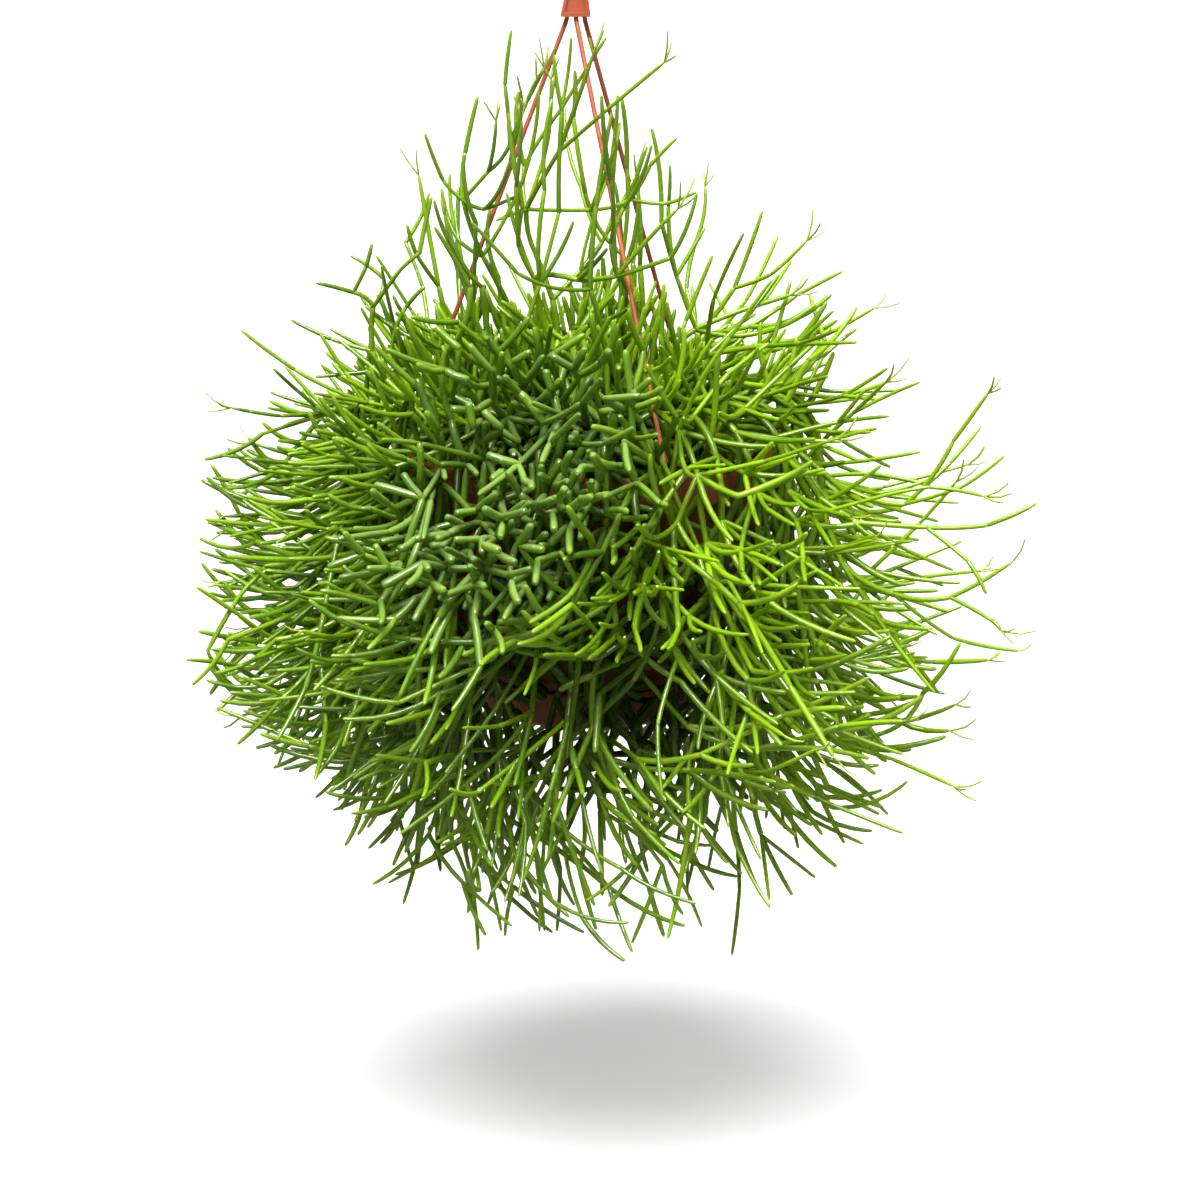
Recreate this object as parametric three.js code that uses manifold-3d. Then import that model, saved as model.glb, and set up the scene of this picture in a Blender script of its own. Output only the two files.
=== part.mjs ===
// Rhipsalis heteroclada in a hanging plastic pot: the pot, its clip-on saucer, a three-strand hanger,
// the potting soil and the branching, leafless, jointed stems.
// Millimetres, +Z up, the front faces -Y. The origin is the inner top of the hook's bow, where it hangs.
import * as THREE from "three";
import { mergeVertices } from "three/addons/utils/BufferGeometryUtils.js";
import Module from "manifold-3d";

const wasm = await Module();
wasm.setup();

// Driving dimensions
const HANG_DROP = 261; // from the hook's bearing point down to the top of the rim
const POT_OFFSET_X = 6; // the pot's axis hangs a little to the right of the hook
const GAP = 0.35; // clearance between pieces that touch

const RIM_R = 90;
const RIM_T = 1.8;
const COLLAR_H = 14.5;
const COLLAR_T = 1.6;
const WALL_T = 1.6;
const WALL_TOP_R = 83.4;
const POT_H = 118;
const FLOOR_T = 1.8;
const FOOT_R = 45.6;
const FOOT_H = 10.2;
const BEAD_R = 46.6;
const BEAD_Z = -112;
const LOWER_WALL = [56.5, -101]; // the wall turns in here, above the foot
const MIDDLE_WALL = [66.5, -83];
const UPPER_WALL = [77.5, -50];
const POT_SIDES = 24;
const DRAIN_COUNT = 4;
const DRAIN_R = 3.5;
const DRAIN_RING_R = 30;
const DRAIN_SIDES = 6;

const SAUCER_R = 49.4;
const SAUCER_T = 1.5;
const SAUCER_TOP = -108.4;
const SAUCER_BOTTOM = -125;
const SAUCER_LIP_R = 46;
const SAUCER_LIP_H = 1.6;
const SAUCER_RIB_R = 34;

const SOIL_TOP = -15;
const ROOT_DEPTH = 13;
const ROOT_RISE = 7; // a stem stands straight for this height above the soil
const ROOT_SIDES = 4;

const BOW_R = 13; // inner radius of the hook's bow
const BOW_W = 5.6; // width of the hook in its own plane
const BOW_D = 7; // depth of the hook, front to back
const BOW_FLANGE = 1.2;
const BOW_WEB = 3;
const BOW_START_DEG = -40; // the bow leaves its neck here, counted from the right over the top
const BOW_END_DEG = 205;
const BOW_POINTS = 10; // turns of the guiding curve between those two
const BOW_STEPS = 14;
const BLOCK_BOTTOM = -60;
const BLOCK_TOP = -43;
const BLOCK_W = 13.6;
const BLOCK_TOP_W = 8;
const BLOCK_D = 9;
const BLOCK_RECESS = 1.6;
const BLOCK_BORDER = 2;
const BLOCK_LEAN = 0.6; // the block's top stands this far to the right of its foot
const BLOCK_LIP = 1.2; // height of the straight lip along the block's foot

const STRAND_R = 1.1;
const STRAND_SIDES = 6;
const STRAND_SOCKET = 5;
const STRAND_HOLE_R = 1.55;
const STRAND_RING_R = 85.5; // the strands pass through the flat of the rim at this radius
const BARB_R = 1.9;
const BARB_H = 4;
const STRANDS = [
  { name: "strand_left", angle: 174, top: [-3.9, 0.2] },
  { name: "strand_front", angle: 294, top: [0.1, -1.8] },
  { name: "strand_back", angle: 54, top: [4, 1.6] },
];

// Stems, in the pot's own frame: origin at the middle of the rim's top
const SEED = 7041;
const CENTRE = new THREE.Vector3(0, 0, -73); // the mound of foliage is nearly a ball round this point
const REACH = 171; // from that point to the usual stem tips
const REACH_UP = 14; // more of it upwards, less below
const REACH_RIGHT = 6; // more of it to the right
const SPRAY_COUNT = 43;
const LOWEST_RISE = -0.88; // sine of the lowest spray's angle below the centre
const HIGHEST_RISE = 0.86;
const GOLDEN_TURN = 2.399963;
const OLD_R = 1.9; // stem radius near the root
const YOUNG_R = 1.5; // stem radius towards the tip
const TWIG_R = 1.3;
const ROOT_SHARE = 0.5; // a twig is this narrow where it grows from its joint
const TIP_SHARE = 0.85;
const ROOT_STEP = 2.4; // twigs of one joint leave it this far before and after its middle
const STEM_SIDES = 3;
const PRISM = 1.2; // a three-sided stem's corner radius over the real stem's radius
const STEM_GAP = 0.5;
const SECOND_TWIG_CHANCE = 0.2; // a joint has one twig, or two by this chance
const LONG_CHANCE = 0.35; // share of twigs with a third length
const FORK_CHANCE = 0.25; // share of those that fork
const FORK_LENGTH = 20;
const FORK_LENGTH_MORE = 14;
const FORK_SPREAD = 0.6; // angle from the twig, in radians
const TWIG_SPREAD = 0.55;
const TWIG_SPREAD_MORE = 0.5;
const TWIG_TRIES = 8;
const TWIG_TRY_TURN = 0.8; // each try leaves the joint this much further round
const SPRAY_TRIES = 60;
const LEAD_REACH = 0.88; // a spray's main stem ends at this share of the reach
const REACH_VARIES = 0.2;
const ROOT_RING_R = 68; // hanging sprays grow near the rim, upright ones near the middle
const ROOT_RING_IN = 48;
const POT_GAP = 2;
const ROOT_ROOM = 2; // soil between two stems
const STRAND_ROOM = 1; // extra room round the strands
const HOOK_ROOM = 10;
const HIGH_TARGET = 12; // sprays that end above this height don't hang beside the pot
const ARCH_RISE = 44; // how strongly a hanging spray arches up before the rim
const SHOULDER_R = 100; // where it comes down outside the rim
const SHOULDER_SPREAD = 16;
const SHOULDER_Z = -14;
const OLD_LENGTH = 22; // between joints, near the root
const YOUNG_LENGTH = 37; // between joints, at the tip
const BEND_POINTS = 40; // points worked out along each bend of a guide

// Sprays that give the plant its outline, as runs of joints. A later run starts at a joint of an earlier one.
const SHAPED = [
  {
    name: "spray_crown_tall",
    root: [-8, 8],
    runs: [
      [[-11, 8, 20], [-14, 6, 45], [-17, 5, 69], [-25, 5, 91], [-29, 0, 112], [-14, -16, 140], [2, -32, 186]],
      [[-29, 0, 112], [-30, 12, 131], [-13, 14, 157], [8, 16, 190]],
      [[-14, -16, 140], [9, -36, 162], [34, -50, 184]],
      [[-29, 0, 112], [1, -20, 114], [19, -30, 120], [28, -35, 136], [40, -40, 149]],
      [[19, -30, 120], [35, -30, 118], [49, -35, 124]],
      [[-29, 0, 112], [-21, 5, 135], [-18, 8, 149]],
      [[-29, 0, 112], [-43, -9, 108]],
      [[-17, 5, 69], [-4, 10, 82], [6, 18, 94]],
    ],
  },
  {
    name: "spray_crown_left",
    root: [-24, -14],
    runs: [
      [[-28, -13, 18], [-33, -12, 42], [-38, -11, 70], [-49, -15, 92], [-58, -15, 118], [-57, -10, 139],
        [-51, -8, 165]],
      [[-58, -15, 118], [-67, -15, 127], [-75, -20, 149]],
      [[-58, -15, 118], [-46, -22, 132], [-36, -28, 145], [-38, -30, 172], [-35, -30, 197]],
      [[-36, -28, 145], [-28, -34, 165], [-20, -36, 180]],
      [[-58, -15, 118], [-48, -25, 115], [-31, -34, 123]],
      [[-49, -15, 92], [-60, -6, 98], [-62, 2, 112]],
    ],
  },
  {
    name: "spray_crown_low",
    root: [-6, -24],
    runs: [
      [[-8, -24, 22], [-16, -26, 50], [-25, -31, 84], [-5, -45, 85], [13, -54, 88], [37, -60, 97]],
      [[-25, -31, 84], [-32, -38, 100], [-30, -44, 118]],
      [[-16, -26, 50], [-2, -34, 62], [12, -38, 78]],
      [[13, -54, 88], [10, -60, 104], [16, -62, 120]],
    ],
  },
  {
    name: "spray_left_spike",
    root: [-44, 6],
    runs: [
      [[-52, 4, 16], [-62, 0, 44], [-70, 0, 76], [-79, 5, 127]],
      [[-70, 0, 76], [-80, -8, 92], [-84, -10, 106]],
      [[-62, 0, 44], [-74, -9, 56], [-90, -13, 65]],
    ],
  },
  {
    name: "spray_left_fork",
    root: [-46, -18],
    runs: [
      [[-60, -18, 10], [-84, -14, 20], [-101, -10, 47], [-100, -12, 68], [-109, -14, 75], [-126, -18, 80]],
      [[-109, -14, 75], [-103, -16, 87], [-100, -18, 98]],
      [[-100, -12, 68], [-95, -6, 80], [-111, -4, 91]],
      [[-100, -12, 68], [-87, -18, 86], [-78, -20, 94]],
      [[-84, -14, 20], [-91, -24, 50], [-84, -28, 70], [-75, -30, 80]],
      [[-101, -10, 47], [-120, -6, 52], [-139, 0, 60]],
    ],
  },
  {
    name: "spray_right_high",
    root: [44, -14],
    runs: [
      [[56, -20, 10], [84, -32, 13], [112, -43, -8], [145, -55, -17], [166, -60, 13], [181, -65, 36]],
      [[145, -55, -17], [166, -48, 1], [180, -43, 17]],
      [[145, -55, -17], [170, -70, -6], [188, -75, 9]],
      [[112, -43, -8], [134, -34, -16], [158, -30, -10]],
    ],
  },
  {
    name: "spray_right_long",
    root: [42, -42],
    runs: [
      [[52, -50, 10], [66, -60, 13], [94, -80, -20], [123, -85, -20], [152, -90, -21], [179, -95, -19],
        [201, -95, -9]],
      [[94, -80, -20], [121, -99, -8], [152, -104, 0], [176, -105, -4]],
      [[123, -85, -20], [144, -76, -34], [166, -74, -44]],
      [[152, -90, -21], [170, -102, -34], [178, -108, -48]],
    ],
  },
  {
    name: "spray_right_low",
    root: [64, -34],
    runs: [
      [[70, -38, 9], [85, -47, 11], [106, -56, -14], [116, -58, -44], [140, -60, -58], [166, -58, -60],
        [194, -60, -43]],
      [[140, -60, -58], [168, -54, -80], [199, -50, -87]],
      [[116, -58, -44], [138, -70, -76], [158, -80, -100]],
      [[166, -58, -60], [184, -70, -68], [196, -80, -80]],
    ],
  },
  {
    name: "spray_top_right",
    root: [30, 18],
    runs: [
      [[36, 16, 22], [52, 10, 52], [68, 8, 74], [81, 10, 110]],
      [[68, 8, 74], [85, -2, 82], [101, -6, 98]],
      [[52, 10, 52], [76, 22, 54], [98, 26, 68], [120, 24, 80]],
      [[52, 10, 52], [46, 22, 72], [50, 30, 92]],
    ],
  },
];

const TERRACOTTA = { color: 0x8a4a32, roughness: 0.55, metalness: 0 };
const HANGER_ORANGE = { color: 0xc4694a, roughness: 0.45, metalness: 0 };
const SOIL_BROWN = { color: 0x2e2118, roughness: 1, metalness: 0 };
const STEM_GREEN = { color: 0x5f8a1c, roughness: 0.5, metalness: 0 };

// Solids
function toSolid(geometry) {
  const bare = geometry.clone();
  bare.deleteAttribute("normal");
  bare.deleteAttribute("uv");
  const merged = mergeVertices(bare, 1e-4);
  return new wasm.Manifold(
    new wasm.Mesh({
      numProp: 3,
      vertProperties: new Float32Array(merged.attributes.position.array),
      triVerts: new Uint32Array(merged.index.array),
    }),
  );
}

function toGeometry(solid) {
  const mesh = solid.getMesh();
  const geometry = new THREE.BufferGeometry();
  geometry.setAttribute("position", new THREE.BufferAttribute(mesh.vertProperties, 3));
  geometry.setIndex(new THREE.BufferAttribute(mesh.triVerts, 1));
  geometry.computeVertexNormals();
  return geometry;
}

function joined(solids) {
  return solids.reduce((whole, solid) => whole.add(solid));
}

function turned(profile) {
  const points = profile.map(([r, z]) => new THREE.Vector2(r, z));
  const lathe = new THREE.LatheGeometry(points, POT_SIDES);
  return lathe.rotateX(Math.PI / 2);
}

function upright(radius, low, high, sides) {
  const post = new THREE.CylinderGeometry(radius, radius, high - low, sides);
  return post.rotateX(Math.PI / 2).translate(0, 0, (low + high) / 2);
}

// A path of straight lengths between joints, so that an extrusion has its rings exactly at the joints.
class JointedLine extends THREE.Curve {
  constructor(joints) {
    super();
    this.joints = joints;
  }
  getUtoTmapping(u) {
    return u;
  }
  getPoint(t, target = new THREE.Vector3()) {
    const place = Math.min(Math.max(t, 0), 1) * (this.joints.length - 1);
    const index = Math.min(Math.floor(place), this.joints.length - 2);
    return target.lerpVectors(this.joints[index], this.joints[index + 1], place - index);
  }
}

function polygon(radius, sides) {
  const shape = new THREE.Shape();
  for (let i = 0; i < sides; i += 1) {
    const angle = (i * 2 * Math.PI) / sides;
    const x = radius * Math.cos(angle);
    const y = radius * Math.sin(angle);
    if (i === 0) shape.moveTo(x, y);
    else shape.lineTo(x, y);
  }
  shape.closePath();
  return shape;
}

// A rod through its joints, with a radius of its own at each joint.
function rod(joints, radii, sides) {
  const geometry = new THREE.ExtrudeGeometry(polygon(1, sides), {
    steps: joints.length - 1,
    bevelEnabled: false,
    extrudePath: new JointedLine(joints),
  });
  const place = geometry.attributes.position;
  const corner = new THREE.Vector3();
  for (let i = 0; i < place.count; i += 1) {
    corner.fromBufferAttribute(place, i);
    const gaps = joints.map((joint) => corner.distanceTo(joint));
    const ring = gaps.indexOf(Math.min(...gaps));
    corner.lerpVectors(joints[ring], corner, radii[ring]);
    place.setXYZ(i, corner.x, corner.y, corner.z);
  }
  return geometry;
}

// Pot, saucer and soil
const WALL = [
  [WALL_TOP_R, -RIM_T],
  [WALL_TOP_R - 0.6, -COLLAR_H],
  UPPER_WALL,
  MIDDLE_WALL,
  LOWER_WALL,
  [FOOT_R + 6.5, -POT_H + FOOT_H + 2],
  [FOOT_R, -POT_H + FOOT_H],
];

function potSolid() {
  const inside = WALL.slice(2).map(([r, z]) => [r - WALL_T, z]);
  const profile = [
    [0, -POT_H],
    [FOOT_R, -POT_H],
    [FOOT_R, BEAD_Z - 1],
    [BEAD_R, BEAD_Z],
    [FOOT_R, BEAD_Z + 1],
    ...WALL.slice().reverse(),
    [RIM_R - COLLAR_T, -RIM_T],
    [RIM_R - COLLAR_T - 0.6, -COLLAR_H],
    [RIM_R - 0.6, -COLLAR_H],
    [RIM_R, -1],
    [RIM_R - 1, 0],
    [WALL_TOP_R - WALL_T, 0],
    ...inside,
    [FOOT_R - WALL_T, -POT_H + FLOOR_T],
    [0, -POT_H + FLOOR_T],
  ];
  let pot = toSolid(turned(profile));
  for (let i = 0; i < DRAIN_COUNT; i += 1) {
    const angle = (i * 2 * Math.PI) / DRAIN_COUNT;
    const drain = upright(DRAIN_R, -POT_H - 1, -POT_H + FLOOR_T + 1, DRAIN_SIDES);
    drain.translate(DRAIN_RING_R * Math.cos(angle), DRAIN_RING_R * Math.sin(angle), 0);
    pot = pot.subtract(toSolid(drain));
  }
  for (const { angle } of STRANDS) {
    const turn = THREE.MathUtils.degToRad(angle);
    const hole = upright(STRAND_HOLE_R, -RIM_T - 1, 1, STRAND_SIDES);
    hole.translate(STRAND_RING_R * Math.cos(turn), STRAND_RING_R * Math.sin(turn), 0);
    pot = pot.subtract(toSolid(hole));
  }
  return pot;
}

function saucerSolid() {
  const inner = SAUCER_R - SAUCER_T;
  const profile = [
    [0, SAUCER_BOTTOM],
    [SAUCER_R - 2.5, SAUCER_BOTTOM],
    [SAUCER_R - 1, SAUCER_BOTTOM + 1.5],
    [SAUCER_R, SAUCER_TOP - 2],
    [SAUCER_R - 0.5, SAUCER_TOP],
    [SAUCER_LIP_R, SAUCER_TOP],
    [SAUCER_LIP_R, SAUCER_TOP - SAUCER_LIP_H],
    [inner, SAUCER_TOP - SAUCER_LIP_H - 1],
    [inner - 1, SAUCER_BOTTOM + SAUCER_T + 1],
    [SAUCER_RIB_R + SAUCER_T, SAUCER_BOTTOM + SAUCER_T],
    [SAUCER_RIB_R + SAUCER_T, -POT_H - GAP],
    [SAUCER_RIB_R, -POT_H - GAP],
    [SAUCER_RIB_R, SAUCER_BOTTOM + SAUCER_T],
    [0, SAUCER_BOTTOM + SAUCER_T],
  ];
  return toSolid(turned(profile));
}

function soilSolid(roots) {
  const side = WALL_T + GAP + 0.35;
  const profile = [
    [0, -POT_H + FLOOR_T + GAP],
    [FOOT_R - side, -POT_H + FLOOR_T + GAP],
    [FOOT_R - side, -POT_H + FOOT_H],
    [LOWER_WALL[0] - side, LOWER_WALL[1]],
    [MIDDLE_WALL[0] - side, MIDDLE_WALL[1]],
    [UPPER_WALL[0] - side, UPPER_WALL[1]],
    [WALL_TOP_R - 2 - side, SOIL_TOP],
    [0, SOIL_TOP],
  ];
  let soil = toSolid(turned(profile));
  const cornerR = (OLD_R * PRISM + GAP) * Math.SQRT2;
  for (const root of roots) {
    const hole = upright(cornerR, root.foot - 1, 0, ROOT_SIDES);
    hole.translate(root.x, root.y, 0);
    soil = soil.subtract(toSolid(hole));
  }
  return soil;
}

// Hanger
function hookSolid() {
  const half = BOW_W / 2;
  const deep = BOW_D / 2;
  const web = BOW_WEB / 2;
  const section = new THREE.Shape();
  const corners = [
    [-deep, -half],
    [deep, -half],
    [deep, -half + BOW_FLANGE],
    [web, -half + BOW_FLANGE],
    [web, half - BOW_FLANGE],
    [deep, half - BOW_FLANGE],
    [deep, half],
    [-deep, half],
    [-deep, half - BOW_FLANGE],
    [-web, half - BOW_FLANGE],
    [-web, -half + BOW_FLANGE],
    [-deep, -half + BOW_FLANGE],
  ];
  corners.forEach(([x, y], i) => (i === 0 ? section.moveTo(x, y) : section.lineTo(x, y)));
  section.closePath();
  const middle = BOW_R + half;
  const path = [new THREE.Vector3(BLOCK_LEAN, 0, BLOCK_TOP - 2), new THREE.Vector3(3.4, 0, BLOCK_TOP + 7)];
  for (let i = 0; i <= BOW_POINTS; i += 1) {
    const degrees = BOW_START_DEG + ((BOW_END_DEG - BOW_START_DEG) * i) / BOW_POINTS;
    const angle = THREE.MathUtils.degToRad(degrees);
    path.push(new THREE.Vector3(middle * Math.cos(angle), 0, -BOW_R + middle * Math.sin(angle)));
  }
  const bow = new THREE.ExtrudeGeometry(section, {
    steps: BOW_STEPS,
    bevelEnabled: false,
    extrudePath: new THREE.CatmullRomCurve3(path),
  });
  let hook = toSolid(bow).add(toSolid(slab(BLOCK_W, BLOCK_TOP_W, BLOCK_BOTTOM, BLOCK_TOP, BLOCK_D)));
  const recess = slab(
    BLOCK_W - 2 * BLOCK_BORDER,
    BLOCK_TOP_W - 2 * BOW_FLANGE,
    BLOCK_BOTTOM + BLOCK_BORDER,
    BLOCK_TOP - BLOCK_BORDER / 2,
    BLOCK_RECESS + 1,
  );
  for (const side of [-1, 1]) {
    const cut = recess.clone().translate(0, (side * (BLOCK_D + 1 - BLOCK_RECESS)) / 2, 0);
    hook = hook.subtract(toSolid(cut));
  }
  for (const { top } of STRANDS) {
    const socketTop = BLOCK_BOTTOM + STRAND_SOCKET;
    const socket = upright(STRAND_R + GAP + 0.1, BLOCK_BOTTOM - 1, socketTop, STRAND_SIDES);
    hook = hook.subtract(toSolid(socket.translate(top[0], top[1], 0)));
  }
  return hook;
}

// A wedge-shaped plate in the XZ plane, centred on Y.
function slab(bottomWidth, topWidth, low, high, depth) {
  const shape = new THREE.Shape();
  shape.moveTo(-bottomWidth / 2, low);
  shape.lineTo(bottomWidth / 2, low);
  shape.lineTo(bottomWidth / 2, low + BLOCK_LIP);
  shape.lineTo(topWidth / 2 + BLOCK_LEAN, high);
  shape.lineTo(-topWidth / 2 + BLOCK_LEAN, high);
  shape.lineTo(-bottomWidth / 2, low + BLOCK_LIP);
  shape.closePath();
  const plate = new THREE.ExtrudeGeometry(shape, { depth, bevelEnabled: false });
  return plate.rotateX(Math.PI / 2).translate(0, depth / 2, 0);
}

// Each strand runs straight out of its socket, slants down to the rim and drops through its hole.
function strandRoute({ angle, top }) {
  const turn = THREE.MathUtils.degToRad(angle);
  const x = POT_OFFSET_X + STRAND_RING_R * Math.cos(turn);
  const y = STRAND_RING_R * Math.sin(turn);
  return [
    new THREE.Vector3(top[0], top[1], BLOCK_BOTTOM + STRAND_SOCKET - GAP),
    new THREE.Vector3(top[0], top[1], BLOCK_BOTTOM - 1),
    new THREE.Vector3(x, y, -HANG_DROP + 4),
    new THREE.Vector3(x, y, -HANG_DROP - RIM_T - GAP),
  ];
}

function strandSolid(strand) {
  const route = strandRoute(strand);
  const line = rod(route, Array(route.length).fill(STRAND_R), STRAND_SIDES);
  const end = route[route.length - 1];
  const barb = new THREE.CylinderGeometry(BARB_R, STRAND_R * 0.6, BARB_H, STRAND_SIDES);
  barb.rotateX(Math.PI / 2);
  barb.translate(end.x, end.y, end.z - BARB_H / 2 + 0.05);
  return toSolid(line).add(toSolid(barb));
}

// Stems
function stream(seed) {
  let state = seed | 0;
  return () => {
    state = (state + 0x6d2b79f5) | 0;
    let mixed = Math.imul(state ^ (state >>> 15), 1 | state);
    mixed = (mixed + Math.imul(mixed ^ (mixed >>> 7), 61 | mixed)) ^ mixed;
    return ((mixed ^ (mixed >>> 14)) >>> 0) / 4294967296;
  };
}

function wallRadius(z) {
  for (let i = 1; i < WALL.length; i += 1) {
    const [r0, z0] = WALL[i - 1];
    const [r1, z1] = WALL[i];
    if (z >= z1) return z > z0 ? r0 : r1 + ((r0 - r1) * (z - z1)) / (z0 - z1);
  }
  return SAUCER_R;
}

// True where a stem of this thickness would touch the pot, its saucer or the soil.
function inPot(p, margin) {
  const r = Math.hypot(p.x, p.y);
  if (p.z > margin || p.z < SAUCER_BOTTOM - margin) return false;
  if (p.z > -COLLAR_H - margin) {
    if (r > RIM_R + margin) return false;
    return r > WALL_TOP_R - WALL_T - margin || p.z < SOIL_TOP + margin;
  }
  return r < Math.max(wallRadius(p.z), SAUCER_R) + margin;
}

// Shortest distance between two straight lengths.
function lengthGap(a0, a1, b0, b1) {
  const u = [a1.x - a0.x, a1.y - a0.y, a1.z - a0.z];
  const v = [b1.x - b0.x, b1.y - b0.y, b1.z - b0.z];
  const w = [a0.x - b0.x, a0.y - b0.y, a0.z - b0.z];
  const uu = u[0] * u[0] + u[1] * u[1] + u[2] * u[2];
  const vv = v[0] * v[0] + v[1] * v[1] + v[2] * v[2];
  const uv = u[0] * v[0] + u[1] * v[1] + u[2] * v[2];
  const uw = u[0] * w[0] + u[1] * w[1] + u[2] * w[2];
  const vw = v[0] * w[0] + v[1] * w[1] + v[2] * w[2];
  const det = uu * vv - uv * uv;
  let s = det > 1e-9 ? (uv * vw - vv * uw) / det : 0;
  s = Math.min(Math.max(s, 0), 1);
  let t = (uv * s + vw) / vv;
  t = Math.min(Math.max(t, 0), 1);
  s = Math.min(Math.max((uv * t - uw) / uu, 0), 1);
  const x = w[0] + s * u[0] - t * v[0];
  const y = w[1] + s * u[1] - t * v[1];
  const z = w[2] + s * u[2] - t * v[2];
  return Math.sqrt(x * x + y * y + z * z);
}

const placed = []; // every length placed so far, as { a, b, r, spray }
for (const strand of STRANDS) {
  const route = strandRoute(strand).map((p) => p.sub(new THREE.Vector3(POT_OFFSET_X, 0, -HANG_DROP)));
  for (let i = 1; i < route.length; i += 1) {
    placed.push({ a: route[i - 1], b: route[i], r: STRAND_R + STRAND_ROOM, spray: strand.name });
  }
}
placed.push({
  a: new THREE.Vector3(-POT_OFFSET_X, 0, HANG_DROP + BLOCK_BOTTOM + 5),
  b: new THREE.Vector3(-POT_OFFSET_X, 0, HANG_DROP),
  r: HOOK_ROOM,
  spray: "hook",
});

// A new length is clear of every other spray, and of its own spray's lengths that it doesn't grow from.
function isClear(a, b, r, spray) {
  for (let i = 0; i <= 4; i += 1) {
    const p = new THREE.Vector3().lerpVectors(a, b, i / 4);
    if (inPot(p, r + POT_GAP)) return false;
  }
  for (const other of placed) {
    const need = (r + other.r) * PRISM + STEM_GAP;
    if (other.spray === spray) {
      if (Math.min(other.a.distanceTo(a), other.b.distanceTo(a)) < 2 * ROOT_STEP + 0.1) continue;
      if (lengthGap(a, b, other.a, other.b) < need * 0.8) return false;
    } else if (lengthGap(a, b, other.a, other.b) < need) return false;
  }
  return true;
}

function reachAlong(direction) {
  return REACH + REACH_UP * direction.z + REACH_RIGHT * direction.x;
}

function sphereDirection(turn, rise) {
  const flat = Math.sqrt(1 - rise * rise);
  return new THREE.Vector3(flat * Math.cos(turn), flat * Math.sin(turn), rise);
}

// Joints along a guide, close together on the old wood and further apart towards the tip.
function jointsAlong(points, random) {
  const lengths = [0];
  for (let i = 1; i < points.length; i += 1) {
    lengths.push(lengths[i - 1] + points[i].distanceTo(points[i - 1]));
  }
  const total = lengths[lengths.length - 1];
  const joints = [];
  let next = 0;
  while (next < total - OLD_LENGTH * 0.6) {
    let i = 0;
    while (lengths[i + 1] < next) i += 1;
    const share = (next - lengths[i]) / (lengths[i + 1] - lengths[i]);
    joints.push(new THREE.Vector3().lerpVectors(points[i], points[i + 1], share));
    const length = OLD_LENGTH + ((YOUNG_LENGTH - OLD_LENGTH) * next) / total;
    next += length * (0.85 + 0.3 * random());
  }
  joints.push(points[points.length - 1]);
  return joints;
}

// Points along cubic bends, each given by its four corners. One bend starts where the last one ends.
function alongBends(bends) {
  const points = [];
  bends.forEach((corners, index) => {
    const curve = new THREE.CubicBezierCurve3(...corners);
    for (let i = index === 0 ? 0 : 1; i <= BEND_POINTS; i += 1) points.push(curve.getPoint(i / BEND_POINTS));
  });
  return points;
}

// The guide rises from the soil. A high one reaches straight for its target. A low one passes over the
// rim, hangs down beside the pot and swings outwards to its target.
function guideTo(target, root, shoulder) {
  const out = Math.hypot(target.x, target.y);
  const corner = (r, z) => new THREE.Vector3((target.x / out) * r, (target.y / out) * r, z);
  const start = (root.x * target.x + root.y * target.y) / out;
  const rootTop = new THREE.Vector3(root.x, root.y, root.top);
  if (target.z > HIGH_TARGET) {
    const rise = corner(start + 10, 44 + 0.3 * target.z);
    return alongBends([[rootTop, rise, corner(out * 0.72, 10 + target.z * 0.72), target]]);
  }
  const top = corner(shoulder, SHOULDER_Z);
  const arch = [rootTop, corner(start + 8, ARCH_RISE), corner(shoulder + 1, ARCH_RISE * 0.75), top];
  const far = Math.hypot(out - shoulder, target.z - SHOULDER_Z);
  const pull = (0.42 * far) / Math.hypot(out, target.z - CENTRE.z);
  const swing = corner(out - pull * out, target.z - pull * (target.z - CENTRE.z));
  return alongBends([arch, [top, corner(shoulder - 1, SHOULDER_Z - 0.4 * far), swing, target]]);
}

function rootAt(x, y) {
  return { x, y, top: SOIL_TOP + ROOT_RISE, foot: SOIL_TOP - ROOT_DEPTH };
}

const sprays = [];

function placeRun(spray, joints, radii) {
  for (let i = 1; i < joints.length; i += 1) {
    placed.push({ a: joints[i - 1], b: joints[i], r: radii[i], spray: spray.name });
  }
  spray.runs.push({ joints, radii });
}

function leadRadii(count) {
  return Array.from({ length: count }, (_, i) => OLD_R + ((YOUNG_R - OLD_R) * i) / (count - 1));
}

function twigRadii(count) {
  const radii = Array(count).fill(TWIG_R);
  radii[0] = TWIG_R * ROOT_SHARE;
  radii[count - 1] = TWIG_R * TIP_SHARE;
  return radii;
}

function isRunClear(joints, radii, name) {
  for (let i = 1; i < joints.length; i += 1) {
    const own = i === 1 ? name : "";
    if (!isClear(joints[i - 1], joints[i], radii[i], own)) return false;
  }
  return true;
}

// A twig leaves its joint at an angle to the spray, turned outwards, and bends on at its own joint.
function twigHeading(joint, along, spread, turn) {
  const outward = joint.clone().sub(CENTRE).normalize();
  const axis = along.clone().multiplyScalar(0.6).add(outward.multiplyScalar(0.7)).normalize();
  const side = new THREE.Vector3(axis.y, -axis.x, 0.3).cross(axis).normalize();
  const across = side.clone().cross(axis);
  const heading = axis.multiplyScalar(Math.cos(spread));
  heading.add(side.multiplyScalar(Math.sin(spread) * Math.cos(turn)));
  return heading.add(across.multiplyScalar(Math.sin(spread) * Math.sin(turn)));
}

function keepWithinReach(run, factor) {
  for (let i = 1; i < run.length; i += 1) {
    const offset = run[i].clone().sub(CENTRE);
    const length = offset.length();
    if (length > reachAlong(offset.divideScalar(length)) * factor) return run.slice(0, i);
  }
  return run;
}

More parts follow.
